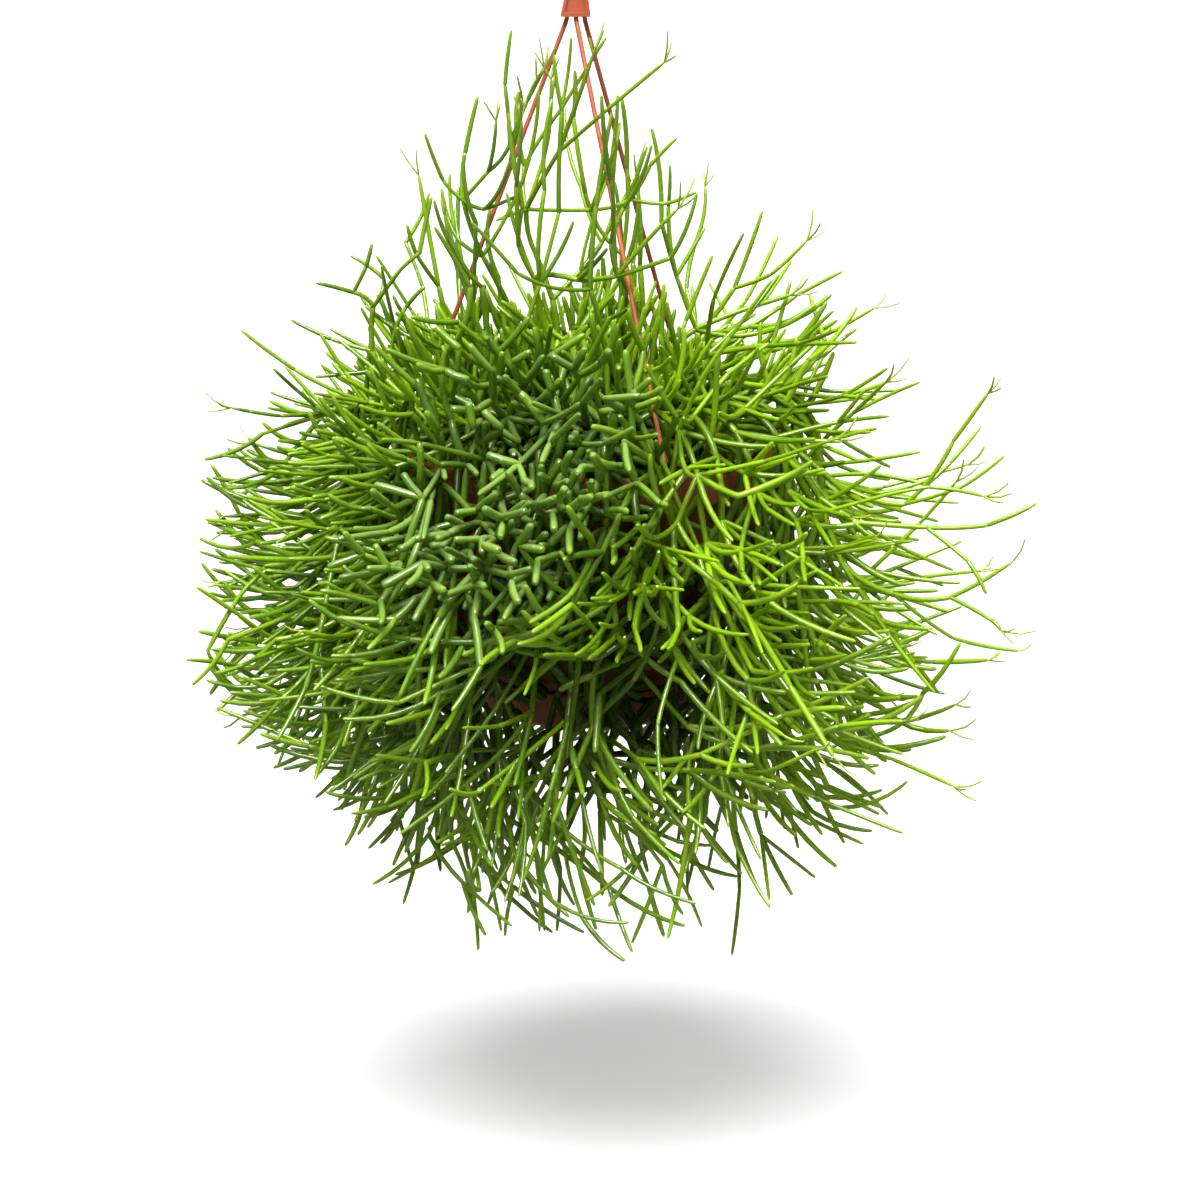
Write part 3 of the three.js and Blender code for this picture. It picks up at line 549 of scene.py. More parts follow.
def grow_shaped(shape):
    root = root_at(*shape["root"])
    spray = {"name": shape["name"], "runs": [], "factor": 1.0, "root": root}
    for index, run in enumerate(shape["runs"]):
        joints = [tuple(float(v) for v in joint) for joint in run]
        if index == 0:
            joints = [(root["x"], root["y"], root["foot"]), (root["x"], root["y"], root["top"])] + joints
        place_run(spray, joints, lead_radii(len(joints)) if index == 0 else twig_radii(len(joints)))
    sprays.append(spray)


def is_stem_clear(a, b):
    """The stretch in the soil has only the other stems to keep clear of."""
    return all(length_gap(a, b, o[0], o[1]) > (OLD_R + o[2]) * PRISM + ROOT_ROOM for o in placed)


place_hanger()
for shape in SHAPED:
    grow_shaped(shape)
for k in range(SPRAY_COUNT):
    grow_generic(k)

# The finer stems, which fill the same sprays, in the same frame
FINE_SEED = 5412
GENERATIONS = 5
FINE_REACH, FINE_REACH_MORE, FINE_REACH_POWER = 0.80, 0.27, 1.5  # shares of the plant's reach where tips end
BOX_ROOM = 5  # tips stay this close to the model's own box

# Lengths, radii and whorls of old and of young stems: ranges, or a value for each generation
OLD_LENGTHS, YOUNG_LENGTHS = (13, 26), (24, 42)
OLD_GIRTH, YOUNG_GIRTH, CROWN_GIRTH = (1.65, 2.15), (1.15, 1.5), (0.95, 1.2)
OLD_SPREAD, YOUNG_SPREAD = (0.6, 1.35), (0.32, 0.8)
OLD_WHORL, YOUNG_WHORL, CROWN_WHORL = (4, 3, 3, 2, 1), (3, 3, 2.4, 2, 1.4), (0.9, 0.7, 0.4, 0.15, 0)
WHORL_TRIES, TRY_TURN, TRY_STRAY, TRY_SHORTER = 9, 0.35, 0.5, 0.06
WHORL_ONWARD, WHORL_FLOW = 0.55, 0.5  # a whorl opens round its parent's line and the flow, in these shares
ONWARD_SPREAD = 0.5  # its first stem carries the parent's line on, at this share of the spread
TOP_SPREAD, TOP_START, TOP_FADE = 0.65, 0.35, 0.3  # above the rim its other stems stand wider
OUTER_START, OUTER_FADE, OUTER_LENGTH = 0.5, 0.3, 20  # young stems are longer towards the outside
OUTER_LEAST, OUTER_OUTWARD = 0.9, 0.35  # out there no stem turns back further than this cosine
UNDER_THINNER, UNDER_START, UNDER_FADE = 0.14, 0.3, 0.4  # stems below the centre are thinner
RIGHT_THICKER = 0.13  # and young ones on the right are thicker
LEAD_OLD_THICKER = 0.14
LEAD_THINNER, LEAD_FAR_THINNER, LEAD_FAR, LEAD_FAR_FADE = 0.08, 0.16, 0.75, 0.4
LEAD_GROWS_ABOVE = 6  # a joint further down its root carries no finer stems
SHORTENED = {("spray_right_low", 3): 0.35}  # its tip would meet another's, seen from the front

# How a stem arches, in shares of its length: out of its whorl, down before it turns up, and at random
ARCH_AWAY, ARCH_AWAY_MORE = 0.03, 0.08
ARCH_SAG, ARCH_SAG_MORE, ARCH_OLD_STIFFER = 0.02, 0.10, 0.7
ARCH_STRAY = 0.06

# The crown: few, thin stems, whose tips stay under a peak
CROWN_BOTTOM, CROWN_LEFT, CROWN_RIGHT = 80, -88, 68
CROWN_MIDDLE, CROWN_SLOPE, CROWN_WIDE = -10, 1.15, 100
CROWN_FADE, CROWN_BASE, CROWN_SHORTER = 24, 0.5, 0.75

# Over the pot: more stems, which may stand closer
OVER_POT, OVER_POT_WIDE = (-12, 62), 116
OVER_POT_MORE, OVER_POT_CROWD = 1.5, 1.4

# Old stems: those near the centre, and patches, each a direction and its full and faded angle in degrees
DEEP_R, DEEP_FADE = 95, 24
OLD_PATCHES = [
    ((-50, -130, 62), 11, 28),
    ((-20, -100, 84), 12, 28),
    ((-60, 120, 40), 14, 38),
    ((60, 130, -10), 10, 30),
]

# The inside, whose stems carry painted shade: a share of the reach, and a distance from the pot
INNER_SHARE, INNER_FADE, INNER_POT, INNER_POT_LEAST = 0.5, 0.25, 24, 0.6

# Places left thin, where the pot and what is behind it show: middle, full and faded radius, share left out
BARE_PLACES = [
    ((34, -112, -50), 14, 40, 0.25),
    ((-30, -90, -106), 16, 34, 0.85),
    ((34, -90, -106), 16, 34, 0.85),
    ((-26, -140, -96), 22, 44, 0.85),
    ((28, -140, -98), 22, 44, 0.85),
    ((0, 0, -160), 30, 60, 0.65),
]
BARE_LEAST = 0.5  # nothing is added where less is left

# Hair-thin new growth at tips: chances, and where it can stand
TUFT_CHANCE, TUFT_RIGHT_CHANCE, TUFT_FAR_CHANCE = 0.006, 0.06, 0.85
TUFT_CROWN_CHANCE, TUFT_LEFT_CHANCE = 0.3, 0.08
TUFT_LEAST, TUFT_FAR = 0.92, 1.06  # shares of the reach
TUFT_FAR_X = 60
TUFT_OLDEST, TUFT_LOWEST = 0.3, -0.55
TUFT_GIRTH, TUFT_LENGTHS = (0.42, 0.62), (7, 17)
TUFT_HAIRS, TUFT_HAIRS_MORE, TUFT_TURN = 2, 2, 2.2
TUFT_SPREAD, TUFT_SPREAD_MORE = 0.3, 0.35
TUFT_UP, TUFT_BOW = 0.2, 0.08

# Room: stems are noted as samples in the cells of a grid
CELL = 6.0
SAMPLE = 3.2
SIDE_ROOM = 0.92  # how close stems lie, as a share of touching
JOINT_ROOM, JOINT_ROOM_GIRTHS = 4.5, 3.4  # nothing is tested so near a stem's own start
CROWD_START = 0.45  # the share of a stem's length past which it minds the crowd
POT_ROOM = 0.4

# How closely stems stand, as the most samples in a cube of three cells a side, by direction from the centre
CROWDS = [
    ((-1, -0.2, 0), 25),
    ((0, -1, 0), 24),
    ((0, 1, 0), 18),
    ((1, -0.1, 0.1), 8),
    ((0.3, 0, 1), 13),
    ((-0.6, 0, 1), 15),
    ((0, -0.5, 0.85), 18),
    ((-0.3, -0.2, -1), 12),
    ((0.7, -0.2, -0.7), 8.5),
    ((0.87, -0.1, 0.5), 7),
    ((-0.8, -0.2, -0.5), 18),
]
CROWD_NARROW, CROWD_EVEN = 4, 1e-4  # how sharply one direction's value gives way to the next
CROWD_INSIDE, CROWD_FALL = 1.5, 0.75  # stems stand closer near the centre

# Chains of stems that hang where the model's own leave room: counts, heights and turns of their ends
CHAIN_GROUPS = [
    {"count": 34, "rise": (-0.97, -0.35), "turns": (0, 360), "reach": (0.78, 0.97), "outward": 0.75},
    {"count": 16, "rise": (0.1, 0.55), "turns": (285, 350), "reach": (0.56, 0.76),
     "along": -0.2, "far": 95},
    {"count": 26, "rise": (-0.3, 0.4), "turns": (255, 350), "reach": (0.56, 0.76),
     "along": 0.1, "far": 100},
    {"count": 14, "rise": (-0.6, 0.35), "turns": (222, 340), "reach": (0.66, 0.86)},
    {"count": 18, "rise": (-0.55, 0.15), "turns": (150, 290), "reach": (0.86, 1.06), "outward": 0.65},
    {"count": 14, "rise": (-0.4, 0.5), "turns": (130, 200), "reach": (0.80, 1.0), "outward": 0.65},
    {"count": 14, "rise": (-0.45, 0.3), "turns": (300, 400), "reach": (0.86, 1.04), "outward": 0.65},
]
CHAIN_TRIES = 200
CHAIN_FAR, CHAIN_NEAR = 145, 45
CHAIN_STEP, CURVE_STEPS = 36, 12
CHAIN_SAME_SIDE = 0.7  # the cosine of the widest turn about the pot that a chain may make
CHAIN_ALONG = 0.5  # and of the widest angle between a chain and the way that stems grow there
CHAIN_ONWARD = 0.4  # and between a chain and the stem that it leaves
CHAIN_LEAVE, CHAIN_ARRIVE, CHAIN_ARRIVE_OUT = 0.4, 0.3, 0.6  # how it bends at its ends
BUNDLE = 3  # chains that run side by side
BUNDLE_WIDTH, BUNDLE_START = (12, 32), 45

# Stems that hang close outside the pot, from joints near its rim
HANGING_COUNT, HANGING_TRIES = 210, 14
HANGING_OUT, HANGING_TOP, HANGING_LOW = (97, 122), -4.0, (-125, -45)
HANGING_SWAY, HANGING_LEAVE = 0.5, 0.15
# Hanging stems carry painted shade in their colour, the first value on the next line
HANGING_PAINTED_SHADE, HANGING_CROWD, HANGING_LEVEL = 0.85, 1.6, 2
HANGING_FROM, HANGING_FROM_UP, HANGING_FROM_ALONG = (60, 115), (-6, 60), 0.9

# The outline: how far added stems reach above, to the left and to the right, with some noise
REACH_TOP, REACH_TOP_POWER, REACH_LEFT_MORE, REACH_RIGHT_LESS = 0.22, 1.3, 0.05, 0.10
OUTLINE_NOISE, OUTLINE_SCALE = 0.18, 3.0

# Its bulges and hollows: direction, how far round it they go in degrees, and how much they add
LOBES = [
    ((-0.92, 0, 0.39), 30, 0.02),
    ((-1, 0, -0.1), 30, 0.02),
    ((-0.75, 0, -0.66), 22, -0.03),
    ((0.7, 0, 0.7), 18, 0.10),
    ((0.87, 0, 0.5), 14, -0.2),
    ((0.78, -0.4, 0.48), 20, -0.1),
    ((0.78, 0.4, 0.48), 20, -0.1),
    ((0.97, 0, -0.24), 22, 0.14),
    ((0.98, 0, 0.2), 16, 0.04),
    ((0, 0, -1), 40, -0.06),
    ((-0.4, 0, -0.92), 20, -0.01),
]

# The flow, where stems tend to grow: drifts that swing sideways, and how much the stems hang
FLOW_SCALE, FLOW_TURN = 1 / 55, 2.6
FLOW_DROP, FLOW_FACING, FLOW_OLD = 0.3, 0.9, 0.8
FLOW_LIFT = 0.8  # young stems on the right hang less for it
LEVEL_START, LEVEL_FADE, TOP_SWAY = 0.15, 0.5, 0.7  # above this rise stems only sway
LOW_START, LOW_FADE, LOW_DROP = 0.45, 0.35, 0.45  # and below this one they point down

DOWN = (0.0, 0.0, -1.0)
STRAIGHT = (0.0, 0.0, 0.0)

taken = {}
stems = []
# A joint, where stems can grow on, is a spray's index, a place, a heading and a generation
grown_on = set()  # the places that a further stem starts from
box_low = [v / MM for v in cad_box[0]]
box_high = [v / MM for v in cad_box[1]]


def between(random, pair):
    return pair[0] + (pair[1] - pair[0]) * random()


def risen(value, start, width):
    """0 up to a start, and 1 from a width past it."""
    return smooth_step((value - start) / width)


def angle_between(direction, other):
    return math.degrees(math.acos(max(-1.0, min(1.0, dot(direction, unit(other))))))


def share_of_reach(p):
    outward = sub(p, CENTRE)
    return length(outward) / reach_along(unit(outward))


def room_left(p):
    left = 1.0
    for middle, full, faded, share in BARE_PLACES:
        left *= 1 - share * (1 - risen(length(sub(p, middle)), full, faded - full))
    return left


def oldness(p):
    outward = sub(p, CENTRE)
    heading = unit(outward)
    old = 1 - risen(length(outward), DEEP_R, DEEP_FADE)
    for direction, full, faded in OLD_PATCHES:
        old = max(old, 1 - risen(angle_between(heading, direction), full, faded - full))
    return old


def crowd_at(p):
    """The most samples allowed near a place, blended between the directions that have a value."""
    direction = unit(sub(p, CENTRE))
    total = 0.0
    weight = 0.0
    for towards, most in CROWDS:
        near = max(0.0, dot(direction, unit(towards))) ** CROWD_NARROW + CROWD_EVEN
        total += near * most
        weight += near
    most = total / weight * (CROWD_INSIDE - CROWD_FALL * share_of_reach(p))
    return most * room_left(p)


def place_on(stem, t):
    """A stem's line is its chord and an arch, which lies off the chord by the bow in the middle."""
    return add(lerp(stem["a"], stem["b"], t), stem["bow"], 4 * t * (1 - t))


def end_heading(stem):
    """At its end the arch falls back by four times the bow."""
    return unit(add(sub(stem["b"], stem["a"]), stem["bow"], -4))


def flow_bow(before, a, b, after):
    """How far the middle of a length lies off its chord, so that a line of lengths runs as one curve."""
    return scaled(sub(add(a, b), add(before, after)), 1 / 16)


def cell_of(p):
    return (int(p[0] // CELL), int(p[1] // CELL), int(p[2] // CELL))


def claim(stem):
    count = max(2, int(length(sub(stem["b"], stem["a"])) / SAMPLE))
    for i in range(count + 1):
        p = place_on(stem, i / count)
        taken.setdefault(cell_of(p), []).append((p[0], p[1], p[2], stem["r"]))


def samples_near(p):
    cx, cy, cz = cell_of(p)
    for x in (cx - 1, cx, cx + 1):
        for y in (cy - 1, cy, cy + 1):
            for z in (cz - 1, cz, cz + 1):
                yield from taken.get((x, y, z), ())


def has_room(stem, crowded=1.0):
    if min(room_left(place_on(stem, 0.5)), room_left(stem["b"])) < BARE_LEAST:
        return False
    span = length(sub(stem["b"], stem["a"]))
    count = max(2, int(span / SAMPLE))
    skip = max(JOINT_ROOM, JOINT_ROOM_GIRTHS * stem["r"])
    most = crowd_at(stem["b"]) * crowded
    for i in range(count + 1):
        t = i / count
        if t * span < skip:
            continue
        p = place_on(stem, t)
        if in_pot(p, stem["r"] + POT_ROOM):
            return False
        near = 0
        for x, y, z, r in samples_near(p):
            near += 1
            need = (stem["r"] + r) * SIDE_ROOM
            dx, dy, dz = p[0] - x, p[1] - y, p[2] - z
            if dx * dx + dy * dy + dz * dz < need * need:
                return False
        if t > CROWD_START and near > most:
            return False
    return True


def is_in_box(p):
    part = (p[0] + POT_OFFSET_X, p[1], p[2] - HANG_DROP)
    return all(box_low[i] - BOX_ROOM < part[i] < box_high[i] + BOX_ROOM for i in range(3))


def new_stem(spray, a, b, r, bow, old, tint, fresh=0.0):
    """A stem with what its looks need: its age, whether it is new growth, its tint and its painted shade."""
    stem = {"spray": spray, "a": a, "b": b, "r": r, "bow": bow, "old": old, "fresh": fresh, "tint": tint}
    middle = place_on(stem, 0.5)
    # Painted shade: full deep inside and near the pot, fading outwards
    stem["inner"] = 1 - risen(share_of_reach(middle), INNER_SHARE, INNER_FADE)
    if in_pot(middle, INNER_POT):
        stem["inner"] = max(stem["inner"], INNER_POT_LEAST)
    return stem


def keep(stem):
    claim(stem)
    stems.append(stem)


def line_neighbours(points, i, before_first):
    """The points before and after a length, carried on past the ends of the line."""
    a, b = points[i - 1], points[i]
    before = points[i - 2] if i > 1 else before_first
    after = points[i + 1] if i + 1 < len(points) else add(b, sub(b, a))
    return before, after


def nearest_joint(spray, run, p):
    """A twig of the model leaves its stem beside the joint. Here it starts in the joint itself."""
    best = p
    gap = 2 * ROOT_STEP
    for points, radii in spray["runs"][:run]:
        for joint in points[1:]:
            if length(sub(joint, p)) < gap:
                best = joint
                gap = length(sub(joint, p))
    return best


def lead_girth(r, b, old):
    r *= 1 + LEAD_OLD_THICKER * old
    far = risen(share_of_reach(b), LEAD_FAR, LEAD_FAR_FADE)
    return r * (1 - (LEAD_THINNER + LEAD_FAR_THINNER * far) * (1 - old))


def fine_leads(random):
    """The model's own lengths, bowed so that each flows into the next. Gives the joints that can grow on."""
    joints = []
    for index, spray in enumerate(sprays):
        for run, (points, radii) in enumerate(spray["runs"]):
            if run:
                points = [nearest_joint(spray, run, points[0])] + list(points[1:])
            for i in range(1, len(points)):
                a, b = points[i - 1], points[i]
                before, after = line_neighbours(points, i, add(a, sub(b, a), -1))
                is_root = not run and i < 2
                bow = STRAIGHT if is_root else flow_bow(before, a, b, after)
                old = oldness(b)
                if i + 1 == len(points):
                    b = lerp(a, b, SHORTENED.get((spray["name"], run), 1))
                r = lead_girth(TWIG_R if run else radii[i], b, old)
                keep(new_stem(index, a, b, r, bow, old, random()))
                grown_on.add(a)
                if b[2] > SOIL_TOP + ROOT_RISE + LEAD_GROWS_ABOVE or math.hypot(b[0], b[1]) > RIM_R:
                    joints.append((index, b, end_heading(stems[-1]), 0))
    return joints


def reach_share(direction):
    """How far added stems reach, against the rule's own reach."""
    share = 1.0
    share -= REACH_TOP * max(0.0, direction[2]) ** REACH_TOP_POWER
    share += REACH_LEFT_MORE * max(0.0, -direction[0])
    share -= REACH_RIGHT_LESS * max(0.0, direction[0])
    for towards, wide, more in LOBES:
        share += more * (1 - smooth_step(angle_between(direction, towards) / wide))
    return share + OUTLINE_NOISE * noise.noise(Vector(direction) * OUTLINE_SCALE)


def fine_reach(p, random):
    direction = unit(sub(p, CENTRE))
    share = FINE_REACH + FINE_REACH_MORE * random() ** FINE_REACH_POWER
    return reach_along(direction) * share * reach_share(direction)


def flow(p, old):
    """Where stems tend to grow: outwards at the sides, hanging in front and behind, in drifts that swing."""
    outward = unit(sub(p, CENTRE))
    down = add(DOWN, outward, outward[2])
    side = cross(outward, down)
    swing = FLOW_TURN * noise.noise(Vector(p) * FLOW_SCALE)
    level = 1 - risen(outward[2], LEVEL_START, LEVEL_FADE)
    low = risen(-outward[2], LOW_START, LOW_FADE)
    lift = FLOW_LIFT * max(0.0, outward[0]) * (1 - old)
    drop = level * (FLOW_DROP + FLOW_FACING * outward[1] ** 2 + FLOW_OLD * old - lift) * (1 - low)
    sway = TOP_SWAY * (1 - level)
    hanging = add(outward, down, drop * math.cos(swing) + sway * math.cos(swing))
    hanging = add(hanging, side, (drop + sway) * math.sin(swing))
    return unit(add(hanging, DOWN, LOW_DROP * low))


def whorl_heading(at, heading, spread, turn, old):
    axis = unit(add(scaled(heading, WHORL_ONWARD), flow(at, old), WHORL_FLOW))
    return unit(turned_from(axis, spread, turn)), axis


def stem_bow(start, axis, span, old, random):
    """A stem swings out of its whorl and back into line, and sags before it turns up."""
    away = add(start, axis, -dot(start, axis))
    up = add((0.0, 0.0, 1.0), start, -start[2])
    bow = scaled(away, (ARCH_AWAY + ARCH_AWAY_MORE * random()) * span)
    bow = add(bow, up, -(ARCH_SAG + ARCH_SAG_MORE * random()) * (1 - ARCH_OLD_STIFFER * old) * span)
    stray = (random() - 0.5, random() - 0.5, random() - 0.5)
    return add(bow, stray, ARCH_STRAY * span)


def girth_at(direction, old, random):
    r = between(random, OLD_GIRTH) * old + between(random, YOUNG_GIRTH) * (1 - old)
    return r * (1 - UNDER_THINNER * risen(-direction[2], UNDER_START, UNDER_FADE))


def whorl_site(at):
    """What the place of a joint asks of the stems that leave it."""
    direction = unit(sub(at, CENTRE))
    return {
        "direction": direction,
        "old": oldness(at),
        "crown": at[2] > CROWN_BOTTOM and CROWN_LEFT < at[0] < CROWN_RIGHT,
        "over_pot": OVER_POT[0] < at[2] < OVER_POT[1] and math.hypot(at[0], at[1]) < OVER_POT_WIDE,
        "outer": risen(share_of_reach(at), OUTER_START, OUTER_FADE),
        "top": risen(direction[2], TOP_START, TOP_FADE),
    }


def whorl_count(at, site, level):
    """How many stems a joint would carry, before chance rounds it."""
    wanted = OLD_WHORL[level] * site["old"] + YOUNG_WHORL[level] * (1 - site["old"])
    if site["crown"]:
        thin = risen(at[2], CROWN_BOTTOM, CROWN_FADE)
        wanted = CROWN_WHORL[level] * thin + CROWN_BASE * wanted * (1 - thin)
    wanted *= room_left(at)
    return wanted + OVER_POT_MORE if site["over_pot"] else wanted


def whorl_stem(joint, site, is_onward, turn, attempt, random):
    """One try at a stem of a whorl, which gives none where it would reach too far or turn back."""
    spray, at, heading = joint[:3]
    old, crown, direction = site["old"], site["crown"], site["direction"]
    spread = between(random, OLD_SPREAD) * old + between(random, YOUNG_SPREAD) * (1 - old)
    spread *= ONWARD_SPREAD if is_onward else 1 + TOP_SPREAD * site["top"]
    start, axis = whorl_heading(at, heading, spread, turn + TRY_TURN * attempt + TRY_STRAY * random(), old)
    young_span = between(random, YOUNG_LENGTHS) + OUTER_LENGTH * site["outer"]
    span = between(random, OLD_LENGTHS) * old + young_span * (1 - old)
    span *= 1 - TRY_SHORTER * attempt
    r = girth_at(direction, old, random)
    r *= 1 + RIGHT_THICKER * max(0.0, direction[0]) * (1 - old)
    if crown:
        r = between(random, CROWN_GIRTH)
        span *= CROWN_SHORTER
    bow = stem_bow(start, axis, span, old, random)
    tip = add(at, unit(add(start, bow, -4 / span)), span)
    if crown:
        too_far = tip[2] > CROWN_BOTTOM + CROWN_SLOPE * (CROWN_WIDE - abs(tip[0] - CROWN_MIDDLE))
    else:
        too_far = length(sub(tip, CENTRE)) > fine_reach(tip, random)
    if too_far or not is_in_box(tip):
        return None
    if site["outer"] > OUTER_LEAST and not crown and dot(start, direction) < OUTER_OUTWARD:
        return None
    return new_stem(spray, add(at, start, -0.5 * r), tip, r, bow, old, random())


def grow_whorl(joint, random):
    """Grows a ring of stems from a joint, and gives the joints at their ends."""
    spray, at, _, level = joint
    if level >= GENERATIONS:
        return []
    site = whorl_site(at)
    count = int(whorl_count(at, site, level) + random())
    turn = random() * 2 * math.pi
    grown = []
    for i in range(count):
        for attempt in range(WHORL_TRIES):
            stem = whorl_stem(joint, site, i == 0, turn, attempt, random)
            if stem and has_room(stem, OVER_POT_CROWD if site["over_pot"] else 1.0):
                keep(stem)
                grown_on.add(at)
                grown.append((spray, stem["b"], end_heading(stem), level + 1))
                break
        turn += 2 * math.pi / count
    return grown


def lengths_along(corners, joint, random, inner=0.0):
    """Cuts a curve into stems, each bowed so that it flows into the next."""
    index, _, heading, _ = joint
    line = [bezier(corners, t / CURVE_STEPS) for t in range(CURVE_STEPS + 1)]
    parts = max(2, round(length(sub(corners[3], corners[0])) / CHAIN_STEP))
    points = [line[round(CURVE_STEPS * i / parts)] for i in range(parts + 1)]
    made = []
    for i in range(1, len(points)):
        a, b = points[i - 1], points[i]
        before, after = line_neighbours(points, i, add(a, heading, -length(sub(b, a))))
        old = oldness(b)
        r = girth_at(unit(sub(b, CENTRE)), old, random)
        stem = new_stem(index, a, b, r, flow_bow(before, a, b, after), old, random())
        # Painted shade, at least as much as the line is given
        stem["inner"] = max(stem["inner"], inner)
        made.append(stem)
    return made


def keep_line(line, level, random, crowded=1.0):
    """Keeps a line of stems if each has room, and gives the joints at their ends."""
    if not all(has_room(stem, crowded) and random() < room_left(stem["b"]) for stem in line):
        return []
    for stem in line:
        keep(stem)
        grown_on.add(stem["a"])
    return [(stem["spray"], stem["b"], end_heading(stem), level) for stem in line]


def chain_ends(group, joints, random, beside):
    """A joint to start from and a place to end in, both near another chain's if there is one."""
    rise = between(random, group["rise"])
    turn = math.radians(between(random, group["turns"]))
    direction = sphere_direction(turn, rise)
    joint = joints[int(random() * len(joints))]
    reach = reach_along(direction) * reach_share(direction) * between(random, group["reach"])
    end = add(CENTRE, direction, reach)
    if beside:
        aside = between(random, BUNDLE_WIDTH)
        shift = sphere_direction(2 * math.pi * random(), 2 * random() - 1)
        end = add(beside[1], shift, aside)
        near = [other for other in joints if length(sub(other[1], beside[0])) < BUNDLE_START]
        joint = near[int(random() * len(near))]
    return joint, end


def is_chain_wanted(group, joint, end):
    """Whether a chain would be neither short nor long, and would leave, run and end in a natural way."""
    start, heading = joint[1:3]
    way = sub(end, start)
    if not CHAIN_NEAR < length(way) < CHAIN_FAR or length(way) > group.get("far", CHAIN_FAR):
        return False
    if dot(unit(way), heading) < CHAIN_ONWARD or not is_in_box(end):
        return False
    same_side = CHAIN_SAME_SIDE * math.hypot(*start[:2]) * math.hypot(*end[:2])
    if start[0] * end[0] + start[1] * end[1] < same_side:
        return False
    if dot(unit(way), flow(end, oldness(end))) < group.get("along", CHAIN_ALONG):
        return False
    return dot(unit(way), unit(sub(end, CENTRE))) >= group.get("outward", -1)


def grow_chain(group, joints, random, beside=None):
    """A line of lengths from a joint of the model to a place that its own stems leave free."""
    for attempt in range(CHAIN_TRIES):
        joint, end = chain_ends(group, joints, random, beside)
        if not is_chain_wanted(group, joint, end):
            continue
        start, heading = joint[1:3]
        span = length(sub(end, start))
        leave = add(start, heading, CHAIN_LEAVE * span)
        last_heading = unit(add(flow(end, oldness(end)), unit(sub(end, CENTRE)), CHAIN_ARRIVE_OUT))
        arrive = add(end, last_heading, -CHAIN_ARRIVE * span)
        grown = keep_line(lengths_along([start, leave, arrive, end], joint, random), 0, random)
        if grown:
            return grown, (start, end)
    return [], None


def is_over_rim(p, turn):
    reach = math.hypot(p[0], p[1])
    along = (p[0] * math.cos(turn) + p[1] * math.sin(turn)) / max(reach, 1.0)
    is_out = HANGING_FROM[0] < reach < HANGING_FROM[1]
    return is_out and HANGING_FROM_UP[0] < p[2] < HANGING_FROM_UP[1] and along > HANGING_FROM_ALONG


def grow_hanging(joints, random):
    """A line of stems that hangs close outside the pot, in the shade of the others, which is painted into
    its colour.
    """
    for attempt in range(HANGING_TRIES):
        turn = 2 * math.pi * random()
        out = between(random, HANGING_OUT)
        near = [joint for joint in joints if is_over_rim(joint[1], turn)]
        if not near:
            continue
        joint = near[int(random() * len(near))]
        low = between(random, HANGING_LOW)
        sway = turn + HANGING_SWAY * (random() - 0.5)
        top = (out * math.cos(turn), out * math.sin(turn), HANGING_TOP)
        end = (out * math.cos(sway), out * math.sin(sway), low)
        leave = add(joint[1], joint[2], HANGING_LEAVE * length(sub(top, joint[1])))
        line = lengths_along([joint[1], leave, top, end], joint, random, HANGING_PAINTED_SHADE)
        grown = keep_line(line, HANGING_LEVEL, random, HANGING_CROWD)
        if grown:
            return grown
    return []


def tuft_chance(p):
    """New growth stands on tips that reach far, most of all on the right and in the crown."""
    outward = sub(p, CENTRE)
    if unit(outward)[2] < TUFT_LOWEST:
        return 0.0
    if share_of_reach(p) <= TUFT_FAR:
        return TUFT_CHANCE + TUFT_RIGHT_CHANCE * max(0.0, unit(outward)[0])
    if p[2] > CROWN_BOTTOM:
        return TUFT_CROWN_CHANCE
    return TUFT_FAR_CHANCE if outward[0] > TUFT_FAR_X else TUFT_LEFT_CHANCE


def grow_tuft(stem, random):
    """Hair-thin new growth at a stem's end."""
    tip = stem["b"]
    heading = unit(sub(tip, stem["a"]))
    turn = random() * 2 * math.pi
    for i in range(TUFT_HAIRS + int(TUFT_HAIRS_MORE * random())):
        spread = TUFT_SPREAD + TUFT_SPREAD_MORE * random()
        towards, axis = whorl_heading(tip, heading, spread, turn + i * TUFT_TURN, 0.0)
        span = between(random, TUFT_LENGTHS)
        end = add(tip, unit(add(towards, (0.0, 0.0, TUFT_UP))), span)
        r = between(random, TUFT_GIRTH)
        if is_in_box(end):
            bow = scaled(add(axis, DOWN), TUFT_BOW * span)
            hair = new_stem(stem["spray"], tip, end, r, bow, 0.0, random(), fresh=1.0)
            hair["ends"] = 1.0
            stems.append(hair)


def grow_fine():
    random = stream(FINE_SEED)
    for spray in sprays:
        spray["tone"] = random()
    for a, b, r, name in placed:
        if name.startswith("strand"):
            claim({"a": a, "b": b, "r": STRAND_R, "bow": STRAIGHT})
    joints = fine_leads(random)
    for group in CHAIN_GROUPS:
        for bundle in range(group["count"]):
            beside = None
            for chain in range(BUNDLE):
                grown, ends = grow_chain(group, joints, random, beside)
                beside = beside or ends
                joints += grown
    for line in range(HANGING_COUNT):
        joints += grow_hanging(joints, random)
    for level in range(GENERATIONS):
        grown = []
        for joint in joints:
            grown += grow_whorl(joint, random)
        joints = grown
    for stem in list(stems):
        stem["ends"] = float(stem["b"] not in grown_on)
        can_carry = stem["ends"] and share_of_reach(stem["b"]) > TUFT_LEAST and stem["old"] < TUFT_OLDEST
        if can_carry and random() < tuft_chance(stem["b"]):
            grow_tuft(stem, random)


# Node helpers, for shapes and for materials
def add_node(tree, kind, inputs=None, **settings):
    made = tree.nodes.new(kind)
    for name, value in settings.items():
        setattr(made, name, value)
    for name, value in (inputs or {}).items():
        if isinstance(value, bpy.types.NodeSocket):
            tree.links.new(value, made.inputs[name])
        else:
            made.inputs[name].default_value = value
    return made


def worked_out(tree, operation, a, b=0.0):
    return add_node(tree, "ShaderNodeMath", {0: a, 1: b}, operation=operation).outputs[0]


